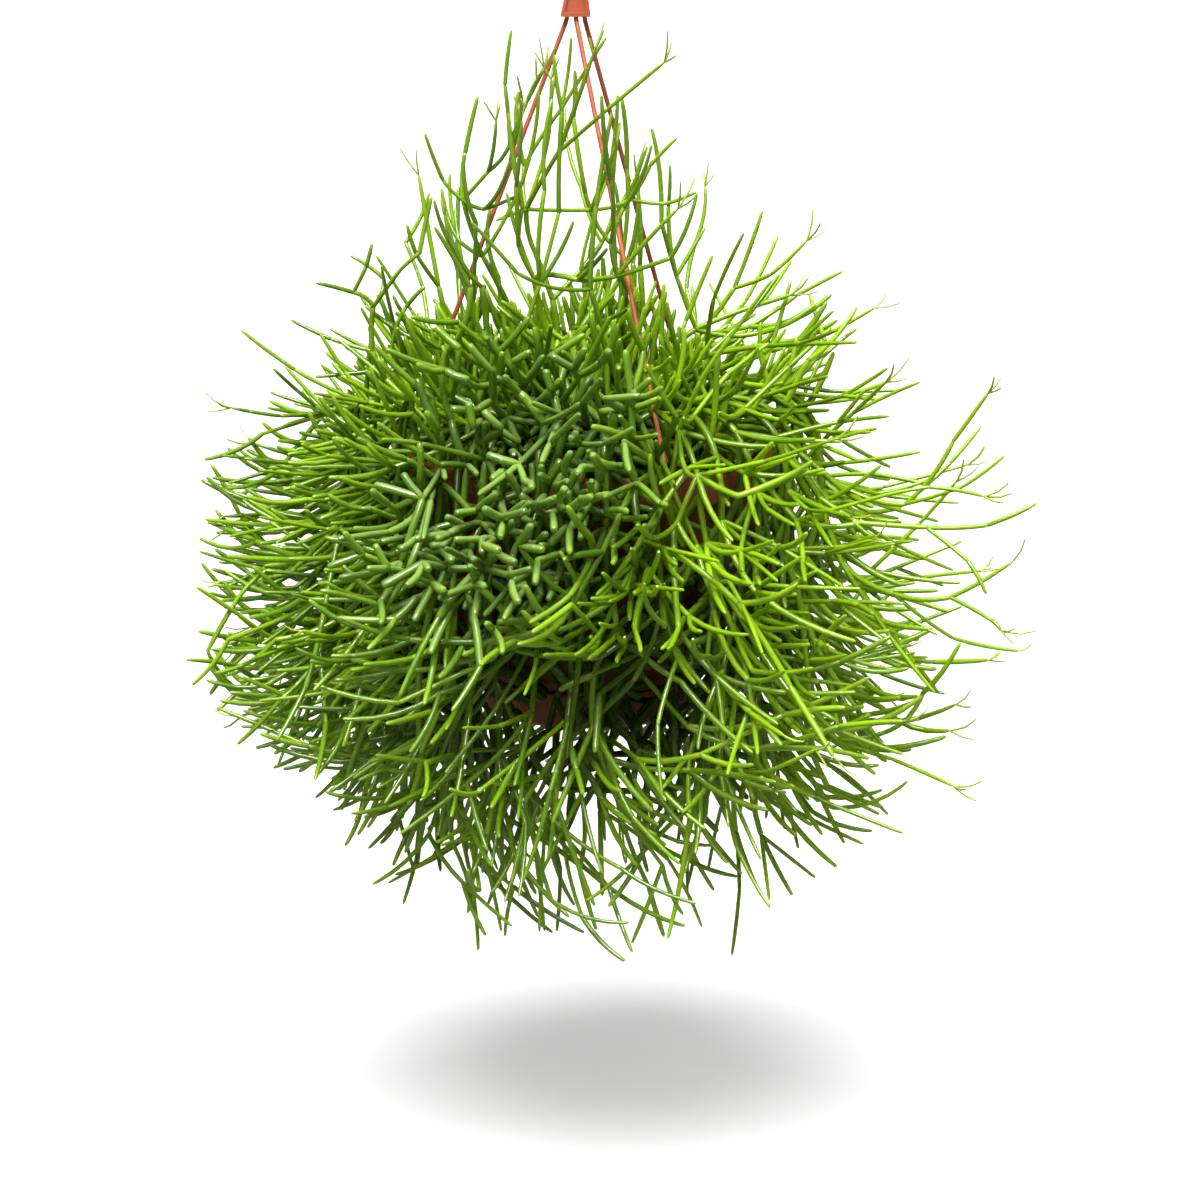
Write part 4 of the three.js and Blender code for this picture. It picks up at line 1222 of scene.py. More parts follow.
def product(tree, first, *others):
    for other in others:
        first = worked_out(tree, "MULTIPLY", first, other)
    return first


def between_values(tree, a, b, share):
    return worked_out(tree, "ADD", a, product(tree, worked_out(tree, "SUBTRACT", b, a), share))


def curved(tree, value, points):
    """A value passed through a curve, here a stem's places or its girth along its length."""
    made = add_node(tree, "ShaderNodeFloatCurve", {"Value": value})
    line = made.mapping.curves[0]
    line.points[0].location = points[0]
    line.points[1].location = points[-1]
    for point in points[1:-1]:
        line.points.new(*point)
    made.mapping.update()
    return made.outputs[0]


def named(tree, name, data_type="FLOAT"):
    made = add_node(tree, "GeometryNodeInputNamedAttribute", {"Name": name}, data_type=data_type)
    return made.outputs["Attribute"]


def stretched(tree, direction, size):
    made = add_node(tree, "ShaderNodeVectorMath", {0: direction, "Scale": size}, operation="SCALE")
    return made.outputs[0]


def stored(tree, geometry, name, value):
    made = add_node(
        tree, "GeometryNodeStoreNamedAttribute", {"Geometry": geometry, "Name": name, "Value": value},
        data_type="FLOAT", domain="POINT",
    )
    return made.outputs[0]


def new_shape_tree(name, inputs):
    tree = bpy.data.node_groups.new(name, "GeometryNodeTree")
    tree.interface.new_socket("Geometry", in_out="INPUT", socket_type="NodeSocketGeometry")
    tree.interface.new_socket("Geometry", in_out="OUTPUT", socket_type="NodeSocketGeometry")
    for label, kind in inputs:
        tree.interface.new_socket(label, in_out="INPUT", socket_type=kind)
    return tree, tree.nodes.new("NodeGroupInput").outputs, tree.nodes.new("NodeGroupOutput").inputs


def swept_round(tree, line, given, girth):
    """A round skin with closed ends along a line, as thick as a value at each point says."""
    ring = add_node(tree, "GeometryNodeCurvePrimitiveCircle", {"Resolution": given["Sides"], "Radius": 1.0})
    skin = add_node(tree, "GeometryNodeCurveToMesh", {
        "Curve": line, "Profile Curve": ring.outputs[0], "Scale": girth, "Fill Caps": True,
    })
    return add_node(tree, "GeometryNodeSetShadeSmooth", {"Geometry": skin.outputs[0]}).outputs[0]


def end_tree(tree, geometry, given, out):
    real = add_node(tree, "GeometryNodeRealizeInstances", {"Geometry": geometry})
    done = add_node(tree, "GeometryNodeSetMaterial", {
        "Geometry": real.outputs[0], "Material": given["Material"],
    })
    tree.links.new(done.outputs[0], out[0])
    return tree


def shaped_by(piece, tree, values):
    """Runs a tree on a piece, keeps the result as its plain mesh and removes the modifier."""
    modifier = piece.modifiers.new(tree.name, "NODES")
    modifier.node_group = tree
    for item in tree.interface.items_tree:
        if item.in_out == "INPUT" and item.name in values:
            modifier[item.identifier] = values[item.name]
    depsgraph = bpy.context.evaluated_depsgraph_get()
    shaped = bpy.data.meshes.new_from_object(
        piece.evaluated_get(depsgraph), preserve_all_data_layers=True, depsgraph=depsgraph
    )
    piece.modifiers.clear()
    piece.data = shaped
    return piece


def stem_tree():
    """Round stems with blunt ends, one along each edge, bowed and a little lumpy."""
    tree, given, out = new_shape_tree(
        "stems",
        [("Sides", "NodeSocketInt"), ("Lumps", "NodeSocketFloat"), ("Material", "NodeSocketMaterial")],
    )
    lines = add_node(tree, "GeometryNodeMeshToCurve", {"Mesh": given["Geometry"]}).outputs[0]
    rings = named(tree, "rings", "INT")
    lines = add_node(tree, "GeometryNodeResampleCurve", {"Curve": lines, "Count": rings}).outputs[0]
    factor = add_node(tree, "GeometryNodeSplineParameter").outputs["Factor"]
    span = add_node(tree, "GeometryNodeSplineLength").outputs["Length"]
    tangent = add_node(tree, "GeometryNodeInputTangent").outputs[0]
    place = add_node(tree, "GeometryNodeInputPosition").outputs[0]
    along = curved(tree, factor, RING_PLACES)
    slid = stretched(tree, tangent, product(tree, worked_out(tree, "SUBTRACT", along, factor), span))
    arch = product(tree, worked_out(tree, "MULTIPLY", along, 4.0), worked_out(tree, "SUBTRACT", 1.0, along))
    bowed = stretched(tree, named(tree, "bow", "FLOAT_VECTOR"), arch)
    moved = add_node(tree, "ShaderNodeVectorMath", {0: slid, 1: bowed}, operation="ADD").outputs[0]
    lumpy = add_node(tree, "ShaderNodeTexNoise", {"Vector": place, "Scale": LUMP_SCALE, "Detail": 1.0})
    lump = product(tree, worked_out(tree, "SUBTRACT", lumpy.outputs[0], 0.5), given["Lumps"])
    led, young = curved(tree, along, LED_GIRTHS), curved(tree, along, YOUNG_GIRTHS)
    girth = between_values(tree, led, young, named(tree, "ends"))
    girth = between_values(tree, girth, curved(tree, along, OLD_GIRTHS), named(tree, "old"))
    girth = product(tree, girth, worked_out(tree, "ADD", 1.0, lump), named(tree, "thick"))
    noted = stored(tree, stored(tree, lines, "along", along), "girth", girth)
    bent = add_node(tree, "GeometryNodeSetPosition", {"Geometry": noted, "Offset": moved}).outputs[0]
    return end_tree(tree, swept_round(tree, bent, given, named(tree, "girth")), given, out)


def rope_tree():
    """A round strand along each line of edges, as thick at each point as its own value says."""
    sockets = [("Sides", "NodeSocketInt"), ("Material", "NodeSocketMaterial")]
    tree, given, out = new_shape_tree("strand", sockets)
    lines = add_node(tree, "GeometryNodeMeshToCurve", {"Mesh": given["Geometry"]}).outputs[0]
    return end_tree(tree, swept_round(tree, lines, given, named(tree, "thick")), given, out)


FULL_TURN = 6.28  # the most that a crumb is turned about each axis


def crumb_tree():
    """Crumbs scattered over the faces that look up, kept with the surface that they lie on."""
    tree, given, out = new_shape_tree(
        "crumbs",
        [("Density", "NodeSocketFloat"), ("Seed", "NodeSocketInt"), ("Smallest", "NodeSocketFloat"),
         ("Largest", "NodeSocketFloat"), ("Material", "NodeSocketMaterial")],
    )
    normal = add_node(tree, "GeometryNodeInputNormal").outputs[0]
    upward = add_node(tree, "ShaderNodeSeparateXYZ", {0: normal}).outputs[2]
    is_top = add_node(
        tree, "FunctionNodeCompare", {0: upward, 1: 0.5}, data_type="FLOAT", operation="GREATER_THAN",
    ).outputs[0]
    points = add_node(tree, "GeometryNodeDistributePointsOnFaces", {
        "Mesh": given["Geometry"], "Selection": is_top, "Density": given["Density"], "Seed": given["Seed"],
    })
    crumb = add_node(tree, "GeometryNodeMeshIcoSphere", {"Radius": 1.0, "Subdivisions": 1})
    turn = add_node(tree, "FunctionNodeRandomValue", {"Seed": given["Seed"]}, data_type="FLOAT_VECTOR")
    turn.inputs[1].default_value = (FULL_TURN, FULL_TURN, FULL_TURN)
    size = add_node(
        tree, "FunctionNodeRandomValue",
        {2: given["Smallest"], 3: given["Largest"], "Seed": given["Seed"]}, data_type="FLOAT",
    )
    placed_crumbs = add_node(
        tree, "GeometryNodeInstanceOnPoints",
        {"Points": points.outputs[0], "Instance": crumb.outputs[0], "Rotation": turn.outputs[0],
         "Scale": size.outputs[1]},
    )
    whole = add_node(tree, "GeometryNodeJoinGeometry")
    tree.links.new(given["Geometry"], whole.inputs[0])
    tree.links.new(placed_crumbs.outputs[0], whole.inputs[0])
    return end_tree(tree, whole.outputs[0], given, out)


# Meshes
def new_piece(name, points, edges, faces):
    mesh = bpy.data.meshes.new(name)
    mesh.from_pydata([tuple(p) for p in points], edges, faces)
    mesh.update()
    piece = bpy.data.objects.new(name, mesh)
    bpy.context.scene.collection.objects.link(piece)
    return piece


def give_value(mesh, name, values, kind="FLOAT"):
    attribute = mesh.attributes.new(name, kind, "POINT")
    field = "vector" if kind == "FLOAT_VECTOR" else "value"
    numbers = np.int32 if kind == "INT" else np.float32
    attribute.data.foreach_set(field, np.asarray(values, dtype=numbers).ravel())


def finish_edges(piece, degrees):
    for face in piece.data.polygons:
        face.use_smooth = True
    piece.data.set_sharp_from_angle(angle=math.radians(degrees))


EASE_MOST = 0.42  # the share of a side that one corner's rounding may take


def eased(corners, radius, steps=3, closed=False):
    """Rounds the corners of a line of points in a plane or in space."""
    points = []
    count = len(corners)
    for i, corner in enumerate(corners):
        if not closed and i in (0, count - 1):
            points.append(tuple(corner))
            continue
        here = Vector(corner)
        before = Vector(corners[i - 1]) - here
        after = Vector(corners[(i + 1) % count]) - here
        reach = min(radius, EASE_MOST * before.length, EASE_MOST * after.length)
        start = here + before.normalized() * reach
        end = here + after.normalized() * reach
        for step in range(steps + 1):
            t = step / steps
            points.append(tuple(start * (1 - t) ** 2 + here * (2 * t * (1 - t)) + end * t * t))
    return points


def lathe(name, profile, sides, lift=(0, 0, 0)):
    """Turns a profile that starts and ends on the axis, with its outer side first."""
    points = []
    rings = []
    for r, z in profile:
        if r < 1e-6:
            rings.append([len(points)])
            points.append(from_pot((0, 0, z)))
            continue
        rings.append(list(range(len(points), len(points) + sides)))
        for k in range(sides):
            angle = 2 * math.pi * k / sides
            points.append(from_pot((r * math.cos(angle), r * math.sin(angle), z)))
    faces = []
    for low, high in zip(rings, rings[1:]):
        for k in range(sides):
            n = (k + 1) % sides
            if len(low) == 1:
                faces.append((low[0], high[n], high[k]))
            elif len(high) == 1:
                faces.append((low[k], low[n], high[0]))
            else:
                faces.append((low[k], low[n], high[n], high[k]))
    return new_piece(name, points, [], faces)


def posts(name, places, radius, low, high, sides=20):
    """Upright round cutters, in the part's frame."""
    points = []
    faces = []
    for x, y in places:
        first = len(points)
        for z in (low, high):
            for k in range(sides):
                angle = 2 * math.pi * k / sides
                around = (x + radius * math.cos(angle), y + radius * math.sin(angle), z)
                points.append(scaled(around, MM))
        faces.append(tuple(first + k for k in reversed(range(sides))))
        faces.append(tuple(first + sides + k for k in range(sides)))
        for k in range(sides):
            n = (k + 1) % sides
            faces.append((first + k, first + n, first + sides + n, first + sides + k))
    return new_piece(name, points, [], faces)


def cut(piece, cutter, operation="DIFFERENCE"):
    modifier = piece.modifiers.new("cut", "BOOLEAN")
    modifier.operation = operation
    modifier.solver = "EXACT"
    modifier.object = cutter
    depsgraph = bpy.context.evaluated_depsgraph_get()
    result = bpy.data.meshes.new_from_object(piece.evaluated_get(depsgraph))
    piece.modifiers.clear()
    piece.data = result
    bpy.data.objects.remove(cutter)
    return piece


def settle(piece, node, material=None):
    """Gives a finished piece to the body, in place of the model's node."""
    if material:
        piece.data.materials.clear()
        piece.data.materials.append(material)
    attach(piece, "root")
    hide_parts(node)


# Stems: where their rings stand along them, closest at the ends, and their girth there
RING_PLACES = [
    (0, 0), (0.125, 0.025), (0.25, 0.1), (0.375, 0.28), (0.5, 0.5), (0.625, 0.72), (0.75, 0.9),
    (0.875, 0.975), (1, 1),
]
LED_GIRTHS = [(0, 0.9), (0.025, 1), (0.1, 1.03), (0.5, 1), (0.9, 0.97), (0.975, 0.95), (1, 0.75)]
YOUNG_GIRTHS = [(0, 0.8), (0.025, 0.96), (0.1, 1.06), (0.5, 1), (0.9, 0.8), (0.975, 0.66), (1, 0.36)]
OLD_GIRTHS = [(0, 0.45), (0.035, 0.78), (0.1, 0.97), (0.5, 1), (0.9, 0.98), (0.965, 0.82), (1, 0.4)]
STEM_SIDES, STEM_LUMPS, LUMP_SCALE = 6, 0.22, 160.0
OLD_RINGS, YOUNG_RINGS, HAIR_RINGS = 7, 9, 5
TINT_OWN, TINT_SPRAY = 0.45, 0.4  # how much the tint varies from stem to stem and from spray to spray
TINT_MIDDLE, TINT_RIGHT_PAINTED_LIGHT = 0.06, 0.18  # and it is paler on the right, painted light as from that side


def rings_of(stem):
    if stem["fresh"]:
        return HAIR_RINGS
    return OLD_RINGS if length(sub(stem["b"], stem["a"])) < OLD_LENGTHS[1] else YOUNG_RINGS


def looks_of(stem, spray):
    """What a stem's points carry for the tree and the material."""
    # Painted light: stems towards the right get a paler tint, as if lit more from that side
    side_light_tint = TINT_MIDDLE + TINT_RIGHT_PAINTED_LIGHT * unit(sub(stem["b"], CENTRE))[0]
    looks = {"thick": stem["r"] * MM, "bow": scaled(stem["bow"], MM), "rings": rings_of(stem)}
    looks["tint"] = TINT_OWN * stem["tint"] + TINT_SPRAY * spray["tone"] + side_light_tint
    for name in ("old", "fresh", "inner", "ends"):
        looks[name] = stem[name]
    return looks


def make_stems(tree, skin):
    kinds = {"bow": "FLOAT_VECTOR", "rings": "INT"}
    for index, spray in enumerate(sprays):
        own = [stem for stem in stems if stem["spray"] == index]
        looks = [looks_of(stem, spray) for stem in own for end in "ab"]
        points = [from_pot(stem[end]) for stem in own for end in "ab"]
        edges = [(2 * i, 2 * i + 1) for i in range(len(own))]
        piece = new_piece("stems_of_" + spray["name"], points, edges, [])
        for name in looks[0]:
            give_value(piece.data, name, [values[name] for values in looks], kinds.get(name, "FLOAT"))
        shaped_by(piece, tree, {"Sides": STEM_SIDES, "Lumps": STEM_LUMPS, "Material": skin})
        settle(piece, spray["name"])


# Pot, saucer and soil
POT_SIDES = 96
POT_EASE, SAUCER_EASE = 1.2, 0.8
MOULDED_SHARP_DEG, HOOK_SHARP_DEG = 32, 40
COLLAR_LEAN, RIM_EASE = 0.6, 0.8
CUT_PAST = 1  # a cutter goes this far past the faces that it opens


def make_pot(plastic):
    inside = [(r - WALL_T, z) for r, z in WALL[2:]]
    profile = [(0, -POT_H), (FOOT_R, -POT_H), (FOOT_R, BEAD_Z - 1), (BEAD_R, BEAD_Z), (FOOT_R, BEAD_Z + 1)]
    profile += WALL[::-1]
    profile += [
        (RIM_R - COLLAR_T, -RIM_T),
        (RIM_R - COLLAR_T - COLLAR_LEAN, -COLLAR_H),
        (RIM_R - COLLAR_LEAN, -COLLAR_H),
        (RIM_R, -RIM_EASE),
        (RIM_R - RIM_EASE, 0),
        (WALL_TOP_R - WALL_T, 0),
    ]
    profile += inside + [(FOOT_R - WALL_T, -POT_H + FLOOR_T), (0, -POT_H + FLOOR_T)]
    pot = lathe("pot_shell", eased(profile, POT_EASE), POT_SIDES)
    drains = []
    for i in range(DRAIN_COUNT):
        angle = i * 2 * math.pi / DRAIN_COUNT
        drains.append((POT_OFFSET_X + DRAIN_RING_R * math.cos(angle), DRAIN_RING_R * math.sin(angle)))
    low = -HANG_DROP - POT_H
    cut(pot, posts("drains", drains, DRAIN_R, low - CUT_PAST, low + FLOOR_T + CUT_PAST))
    holes = [strand_route(angle, top)[2][:2] for name, angle, top in STRANDS]
    cut(pot, posts("holes", holes, STRAND_HOLE_R, -HANG_DROP - RIM_T - CUT_PAST, -HANG_DROP + CUT_PAST))
    finish_edges(pot, MOULDED_SHARP_DEG)
    settle(pot, "pot", plastic)


def make_saucer(plastic):
    inner = SAUCER_R - SAUCER_T
    profile = [
        (0, SAUCER_BOTTOM + 0.5),
        (SAUCER_RIB_R - 6, SAUCER_BOTTOM + 0.5),
        (SAUCER_RIB_R - 5, SAUCER_BOTTOM),
        (SAUCER_R - 2.5, SAUCER_BOTTOM),
        (SAUCER_R - 1, SAUCER_BOTTOM + 1.5),
        (SAUCER_R - 0.4, SAUCER_TOP - 4),
        (SAUCER_R, SAUCER_TOP - 2.6),
        (SAUCER_R, SAUCER_TOP - 1),
        (SAUCER_R - 0.6, SAUCER_TOP),
        (SAUCER_LIP_R, SAUCER_TOP),
        (SAUCER_LIP_R, SAUCER_TOP - SAUCER_LIP_H),
        (inner, SAUCER_TOP - SAUCER_LIP_H - 1),
        (inner - 1, SAUCER_BOTTOM + SAUCER_T + 1),
        (SAUCER_RIB_R + SAUCER_T, SAUCER_BOTTOM + SAUCER_T),
        (SAUCER_RIB_R + SAUCER_T, -POT_H - GAP),
        (SAUCER_RIB_R, -POT_H - GAP),
        (SAUCER_RIB_R, SAUCER_BOTTOM + SAUCER_T),
        (0, SAUCER_BOTTOM + SAUCER_T),
    ]
    saucer = lathe("saucer_shell", eased(profile, SAUCER_EASE), POT_SIDES)
    finish_edges(saucer, MOULDED_SHARP_DEG)
    settle(saucer, "saucer", plastic)


SOIL_SINK, SOIL_RINGS, SOIL_SIDES, SOIL_GAP = 2.2, 14, 72, 0.35
SOIL_HOLLOWS, SOIL_CLODS, CLOD_SHARE = 90, 260, 0.6  # noise scales of its top, and the finer one's share
CRUMB_DENSITY, CRUMB_SEED, CRUMB_SIZES = 110000.0, 11, (0.0006, 0.0019)


def make_soil(tree, earth):
    side = WALL_T + GAP + SOIL_GAP
    edge = WALL_TOP_R - 2 - side
    bottom = -POT_H + FLOOR_T + GAP
    profile = [(0, bottom), (FOOT_R - side, bottom), (FOOT_R - side, WALL[5][1])]
    profile += [(r - side, z) for r, z in WALL[4:1:-1]]
    profile += [(edge * (1 - i / SOIL_RINGS), SOIL_TOP) for i in range(SOIL_RINGS)]
    profile += [(0, SOIL_TOP)]
    soil = lathe("soil_crumbs", profile, SOIL_SIDES)
    top = from_pot((0, 0, SOIL_TOP))[2]
    for vertex in soil.data.vertices:
        if vertex.co.z > top - 1e-5:
            sink = noise.noise(vertex.co * SOIL_HOLLOWS) + CLOD_SHARE * noise.noise(vertex.co * SOIL_CLODS)
            vertex.co.z -= SOIL_SINK * MM * (0.5 + 0.5 * sink)
    shaped_by(soil, tree, {
        "Density": CRUMB_DENSITY, "Seed": CRUMB_SEED,
        "Smallest": CRUMB_SIZES[0], "Largest": CRUMB_SIZES[1], "Material": earth,
    })
    settle(soil, "soil")


# Hanger
NECK_SINK, NECK_RISE, NECK_X = 2, 7, 3.4  # the bow's line starts in the block and rises to here
BOW_STEPS, BOW_EASE, BOW_EASE_STEPS = 6, 0.35, 2
RECESS_SHALLOWER, SOCKET_ROOM = 0.25, 0.05  # so that the front strand's socket stays closed
STRAND_BEND, STRAND_BEND_STEPS, STRAND_SIDES = 5, 5, 14


def bow_path():
    middle = BOW_R + BOW_W / 2
    path = [(BLOCK_LEAN, 0, BLOCK_TOP - NECK_SINK), (NECK_X, 0, BLOCK_TOP + NECK_RISE)]
    for i in range(BOW_POINTS + 1):
        angle = math.radians(BOW_START_DEG + (BOW_END_DEG - BOW_START_DEG) * i / BOW_POINTS)
        path.append((middle * math.cos(angle), 0, -BOW_R + middle * math.sin(angle)))
    return path


def flowing(path, steps):
    """A smooth line through the points of a path, evenly paced in each stretch."""
    ends = [add(path[0], sub(path[1], path[0]), -1)] + path + [add(path[-1], sub(path[-1], path[-2]))]
    points = []
    for p0, p1, p2, p3 in zip(ends, ends[1:], ends[2:], ends[3:]):
        reach = length(sub(p2, p1)) / 3
        lead_in = add(p1, unit(sub(p2, p0)), reach)
        lead_out = add(p2, unit(sub(p3, p1)), -reach)
        for i in range(steps):
            points.append(bezier([p1, lead_in, lead_out, p2], i / steps))
    points.append(path[-1])
    return points


def swept(name, path, section):
    """A closed section, given as depth and width, carried along a path that lies in the XZ plane."""
    points = []
    faces = []
    count = len(section)
    for i, place in enumerate(path):
        ahead = path[min(i + 1, len(path) - 1)]
        behind = path[max(i - 1, 0)]
        along = unit(sub(ahead, behind))
        across = (along[2], 0, -along[0])
        for depth, width in section:
            p = add(place, across, width)
            points.append((p[0] * MM, depth * MM, p[2] * MM))
    for i in range(len(path) - 1):
        for k in range(count):
            n = (k + 1) % count
            a, b = i * count, (i + 1) * count
            faces.append((a + k, a + n, b + n, b + k))
    faces.append(tuple(reversed(range(count))))
    faces.append(tuple((len(path) - 1) * count + k for k in range(count)))
    piece = new_piece(name, points, [], faces)
    face_outwards(piece)
    return piece


def face_outwards(piece):
    mesh = bmesh.new()
    mesh.from_mesh(piece.data)
    bmesh.ops.recalc_face_normals(mesh, faces=mesh.faces)
    mesh.to_mesh(piece.data)
    mesh.free()


def wedge(name, bottom_width, top_width, low, high, depth, at_y=0.0, ease=0.5):
    """A leaning block with a straight lip along its foot."""
    outline = [
        (-bottom_width / 2, low),
        (bottom_width / 2, low),
        (bottom_width / 2, low + BLOCK_LIP),
        (top_width / 2 + BLOCK_LEAN, high),
        (-top_width / 2 + BLOCK_LEAN, high),
        (-bottom_width / 2, low + BLOCK_LIP),
    ]
    outline = eased(outline, ease, closed=True)
    count = len(outline)
    points = [(x * MM, (at_y + y) * MM, z * MM) for y in (-depth / 2, depth / 2) for x, z in outline]
    faces = [tuple(range(count)), tuple(reversed(range(count, 2 * count)))]
    for k in range(count):
        n = (k + 1) % count
        faces.append((k, k + count, n + count, n))
    piece = new_piece(name, points, [], faces)
    face_outwards(piece)
    return piece


def make_hook(plastic):
    half, deep, web = BOW_W / 2, BOW_D / 2, BOW_WEB / 2
    recess = BLOCK_RECESS - RECESS_SHALLOWER
    section = [
        (-deep, -half), (deep, -half), (deep, -half + BOW_FLANGE), (web, -half + BOW_FLANGE),
        (web, half - BOW_FLANGE), (deep, half - BOW_FLANGE), (deep, half), (-deep, half),
        (-deep, half - BOW_FLANGE), (-web, half - BOW_FLANGE), (-web, -half + BOW_FLANGE),
        (-deep, -half + BOW_FLANGE),
    ]
    section = eased(section, BOW_EASE, BOW_EASE_STEPS, closed=True)
    hook = swept("hook_bow", flowing(bow_path(), BOW_STEPS), section)
    cut(hook, wedge("block", BLOCK_W, BLOCK_TOP_W, BLOCK_BOTTOM, BLOCK_TOP, BLOCK_D), "UNION")
    for side in (-1, 1):
        cut(hook, wedge(
            "recess", BLOCK_W - 2 * BLOCK_BORDER, BLOCK_TOP_W - 2 * BOW_FLANGE, BLOCK_BOTTOM + BLOCK_BORDER,
            BLOCK_TOP - BLOCK_BORDER / 2, recess + CUT_PAST, side * (BLOCK_D + CUT_PAST - recess) / 2,
        ))
    sockets = [top for name, angle, top in STRANDS]
    low, high = BLOCK_BOTTOM - CUT_PAST, BLOCK_BOTTOM + STRAND_SOCKET
    cut(hook, posts("sockets", sockets, STRAND_R + SOCKET_ROOM, low, high))
    finish_edges(hook, HOOK_SHARP_DEG)
    settle(hook, "hanger_hook", plastic)


def make_strands(tree, plastic):
    """Each strand ends in a barb below the rim, a cone that is widest just under the strand's end."""
    for name, angle, top in STRANDS:
        route = eased(strand_route(angle, top), STRAND_BEND, STRAND_BEND_STEPS)
        end = route[-1]
        line = [(p, STRAND_R) for p in route[:-1]]
        line += [
            (end, STRAND_R),
            (add(end, (0, 0, -0.1)), BARB_R * 0.9),
            (add(end, (0, 0, -0.5)), BARB_R),
            (add(end, (0, 0, -BARB_H + 0.4)), STRAND_R * 0.8),
            (add(end, (0, 0, -BARB_H + 0.1)), STRAND_R * 0.4),
        ]
        edges = [(i, i + 1) for i in range(len(line) - 1)]
        piece = new_piece(name + "_cord", [scaled(p, MM) for p, r in line], edges, [])
        give_value(piece.data, "thick", [r * MM for p, r in line])
        shaped_by(piece, tree, {"Sides": STRAND_SIDES, "Material": plastic})
        settle(piece, name)


# Materials
def new_material(name, roughness, specular=0.5):
    material = bpy.data.materials.new(name)
    material.use_nodes = True
    tree = material.node_tree
    shader = tree.nodes["Principled BSDF"]
    shader.inputs["Roughness"].default_value = roughness
    shader.inputs["Specular IOR Level"].default_value = specular
    return material, tree, shader


def mixed(tree, share, a, b, blend_type="MIX"):
    """A colour between two others, each a colour or another node's output."""
    made = add_node(tree, "ShaderNodeMix", data_type="RGBA", blend_type=blend_type)
    for socket, value in ((made.inputs[0], share), (made.inputs[6], a), (made.inputs[7], b)):
        if isinstance(value, bpy.types.NodeSocket):
            tree.links.new(value, socket)
        else:
            socket.default_value = value
    return made.outputs[2]


def ranged(tree, value, low, high, to_low=0.0, to_high=1.0):
    made = add_node(tree, "ShaderNodeMapRange", {
        "Value": value, "From Min": low, "From Max": high, "To Min": to_low, "To Max": to_high,
    }, clamp=True)
    return made.outputs[0]


def own_place(tree):
    return add_node(tree, "ShaderNodeTexCoord").outputs["Object"]


def cloud(tree, scale, detail=2.0, roughness=0.5):
    return add_node(
        tree, "ShaderNodeTexNoise",
        {"Vector": own_place(tree), "Scale": scale, "Detail": detail, "Roughness": roughness},
    ).outputs[0]


def relief(tree, shader, height, distance, strength=1.0):
    """Fine bumps, with their height in metres."""
    bump = add_node(tree, "ShaderNodeBump", {"Height": height, "Distance": distance, "Strength": strength})
    tree.links.new(bump.outputs[0], shader.inputs["Normal"])


def value_of(tree, name):
    return add_node(tree, "ShaderNodeAttribute", attribute_name=name).outputs["Fac"]


YOUNG_GREEN = (0.30, 0.52, 0.003, 1)
DEEP_GREEN = (0.075, 0.18, 0.001, 1)
OLD_GREEN = (0.135, 0.28, 0.014, 1)
OLD_DARK = (0.04, 0.10, 0.005, 1)
WAX_AND_PAINTED_SHEEN = (0.40, 0.55, 0.19, 1)
TIP_GREEN = (0.36, 0.56, 0.03, 1)
HAIR_GREEN = (0.40, 0.52, 0.06, 1)
PAINTED_SHADE_GREEN = (0.022, 0.055, 0.002, 1)
JOINT_BROWN = (0.13, 0.15, 0.03, 1)
AREOLE_PALE = (0.42, 0.50, 0.26, 1)


SKIN_ROUGHNESS, SKIN_SHINE, SHADED_SHINE = 0.31, 0.5, 0.1
TINT_DARKEST, TINT_PALEST = 0.15, 0.85
PATCH_SCALE, SPECK_SCALE, RIDGE_SCALE = 70, 190.0, 900
SPECK_R, SPECK_FADED_R, SPECK_SHARE, SPECK_HEIGHT = 0.07, 0.15, 0.5, 1.5
WAX_SHEEN_YOUNG, WAX_SHEEN_OLD = 0.03, 0.40  # how much pale wax and painted sheen shows on faces that look up
PAINTED_SHADE_SHARE = 0.8  # how far painted shade takes stems deep inside to their darkest green
SKIN_RELIEF, SKIN_RELIEF_SHARE = 0.0002, 0.6


